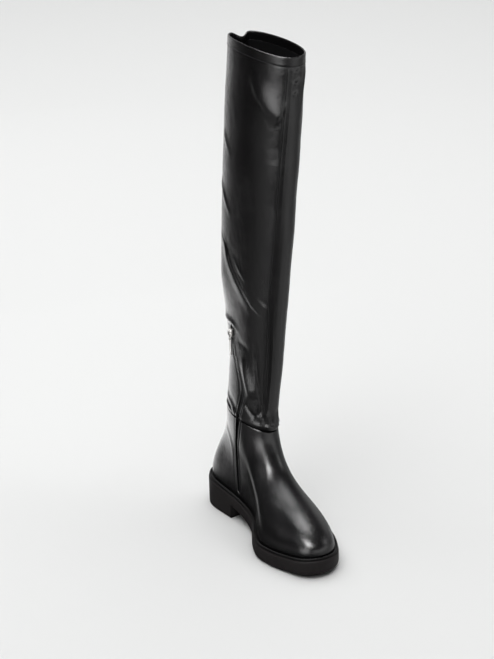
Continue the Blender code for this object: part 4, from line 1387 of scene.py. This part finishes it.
def bandFinish(name, bands, strength):
    # light whose strength follows the direction from the middle
    finish = bpy.data.materials.new(name)
    finish.use_nodes = True
    finish.node_tree.nodes.clear()
    add = nodeAdder(finish.node_tree)
    spot = add("ShaderNodeSeparateXYZ", {0: add("ShaderNodeTexCoord").outputs["Object"]}).outputs
    angle = add("ShaderNodeMath", {0: spot["Y"], 1: spot["X"]}, operation="ARCTAN2").outputs[0]
    share = scaled(add, angle, 0.5 / math.pi, 1.0)
    ramp = add("ShaderNodeValToRGB", {0: add("ShaderNodeMath", {0: share}, operation="FRACT").outputs[0]})
    stops = ramp.color_ramp.elements
    while len(stops) < len(bands):
        stops.new(0.5)
    for stop, (direction, brightness) in zip(stops, bands):
        stop.position = direction / 360
        stop.color = (*[brightness / strength] * 3, 1)
    glow = add("ShaderNodeEmission", {"Color": ramp.outputs["Color"], "Strength": strength})
    add("ShaderNodeOutputMaterial", {"Surface": glow.outputs[0]})
    return finish


def hideButGloss(piece):
    piece.visible_camera = False
    piece.visible_diffuse = False
    piece.visible_shadow = False
    piece.visible_transmission = False


def buildReflectors(look):
    for k, (place, target, width, height, brightness) in enumerate(look["cards"]):
        turn = (Vector(target) - Vector(place)).to_track_quat("-Z", "Y").to_matrix().to_4x4()
        turn.translation = place
        glow = bandFinish("card glow %d" % k, [(0, brightness), (180, brightness)], brightness)
        bm = bmesh.new()
        bmesh.ops.create_grid(bm, x_segments=1, y_segments=1, size=0.5)
        bmesh.ops.scale(bm, vec=(width, height, 1), verts=bm.verts)
        bmesh.ops.transform(bm, matrix=turn, verts=bm.verts)
        hideButGloss(staged("card %d" % k, bm, [glow]))
    bm = bmesh.new()
    radius, height = look["rings"][0][:2]
    bmesh.ops.create_circle(
        bm, cap_ends=True, cap_tris=True, segments=look["columns"], radius=radius,
        matrix=Matrix.Translation((0, 0, height)),
    )
    for outer, top, zone in look["rings"][1:]:
        before = set(bm.faces)
        rim = [edge for edge in bm.edges if edge.is_boundary]
        made = bmesh.ops.extrude_edge_only(bm, edges=rim)["geom"]
        ring = [item for item in made if isinstance(item, bmesh.types.BMVert)]
        bmesh.ops.scale(bm, vec=(outer / radius, outer / radius, 1), verts=ring)
        bmesh.ops.translate(bm, vec=(0, 0, top - height), verts=ring)
        for face in set(bm.faces) - before:
            face.material_index = zone
        radius, height = outer, top
    zones = enumerate(look["zones"])
    glows = [bandFinish("reflector zone %d" % k, bands, look["strength"]) for k, bands in zones]
    hideButGloss(staged("reflectors", bm, glows))


buildReflectors(reflectors)

# The camera that fits the sole's edges in the photograph
view = {
    "place": (-1.2574, -2.4649, 1.3653),
    "right": (0.88342, -0.46813, -0.02071),
    "down": (-0.19333, -0.32387, -0.92614),
    "forward": (0.42684, 0.82217, -0.37661),
    "focalPixels": 2383.0,
    "widthPixels": 494.0,
    "sensor": 36.0,
}


def buildCamera(look):
    lens = bpy.data.cameras.new("camera")
    lens.sensor_fit = "HORIZONTAL"
    lens.sensor_width = look["sensor"]
    lens.lens = look["focalPixels"] / look["widthPixels"] * look["sensor"]
    camera = linked("camera", lens)
    axes = (Vector(look["right"]), -Vector(look["down"]), -Vector(look["forward"]))
    camera.matrix_world = Matrix(axes).transposed().to_4x4()
    camera.location = Vector(look["place"]) + Vector(stand)
    bpy.context.scene.camera = camera


buildCamera(view)
print("studio ready")
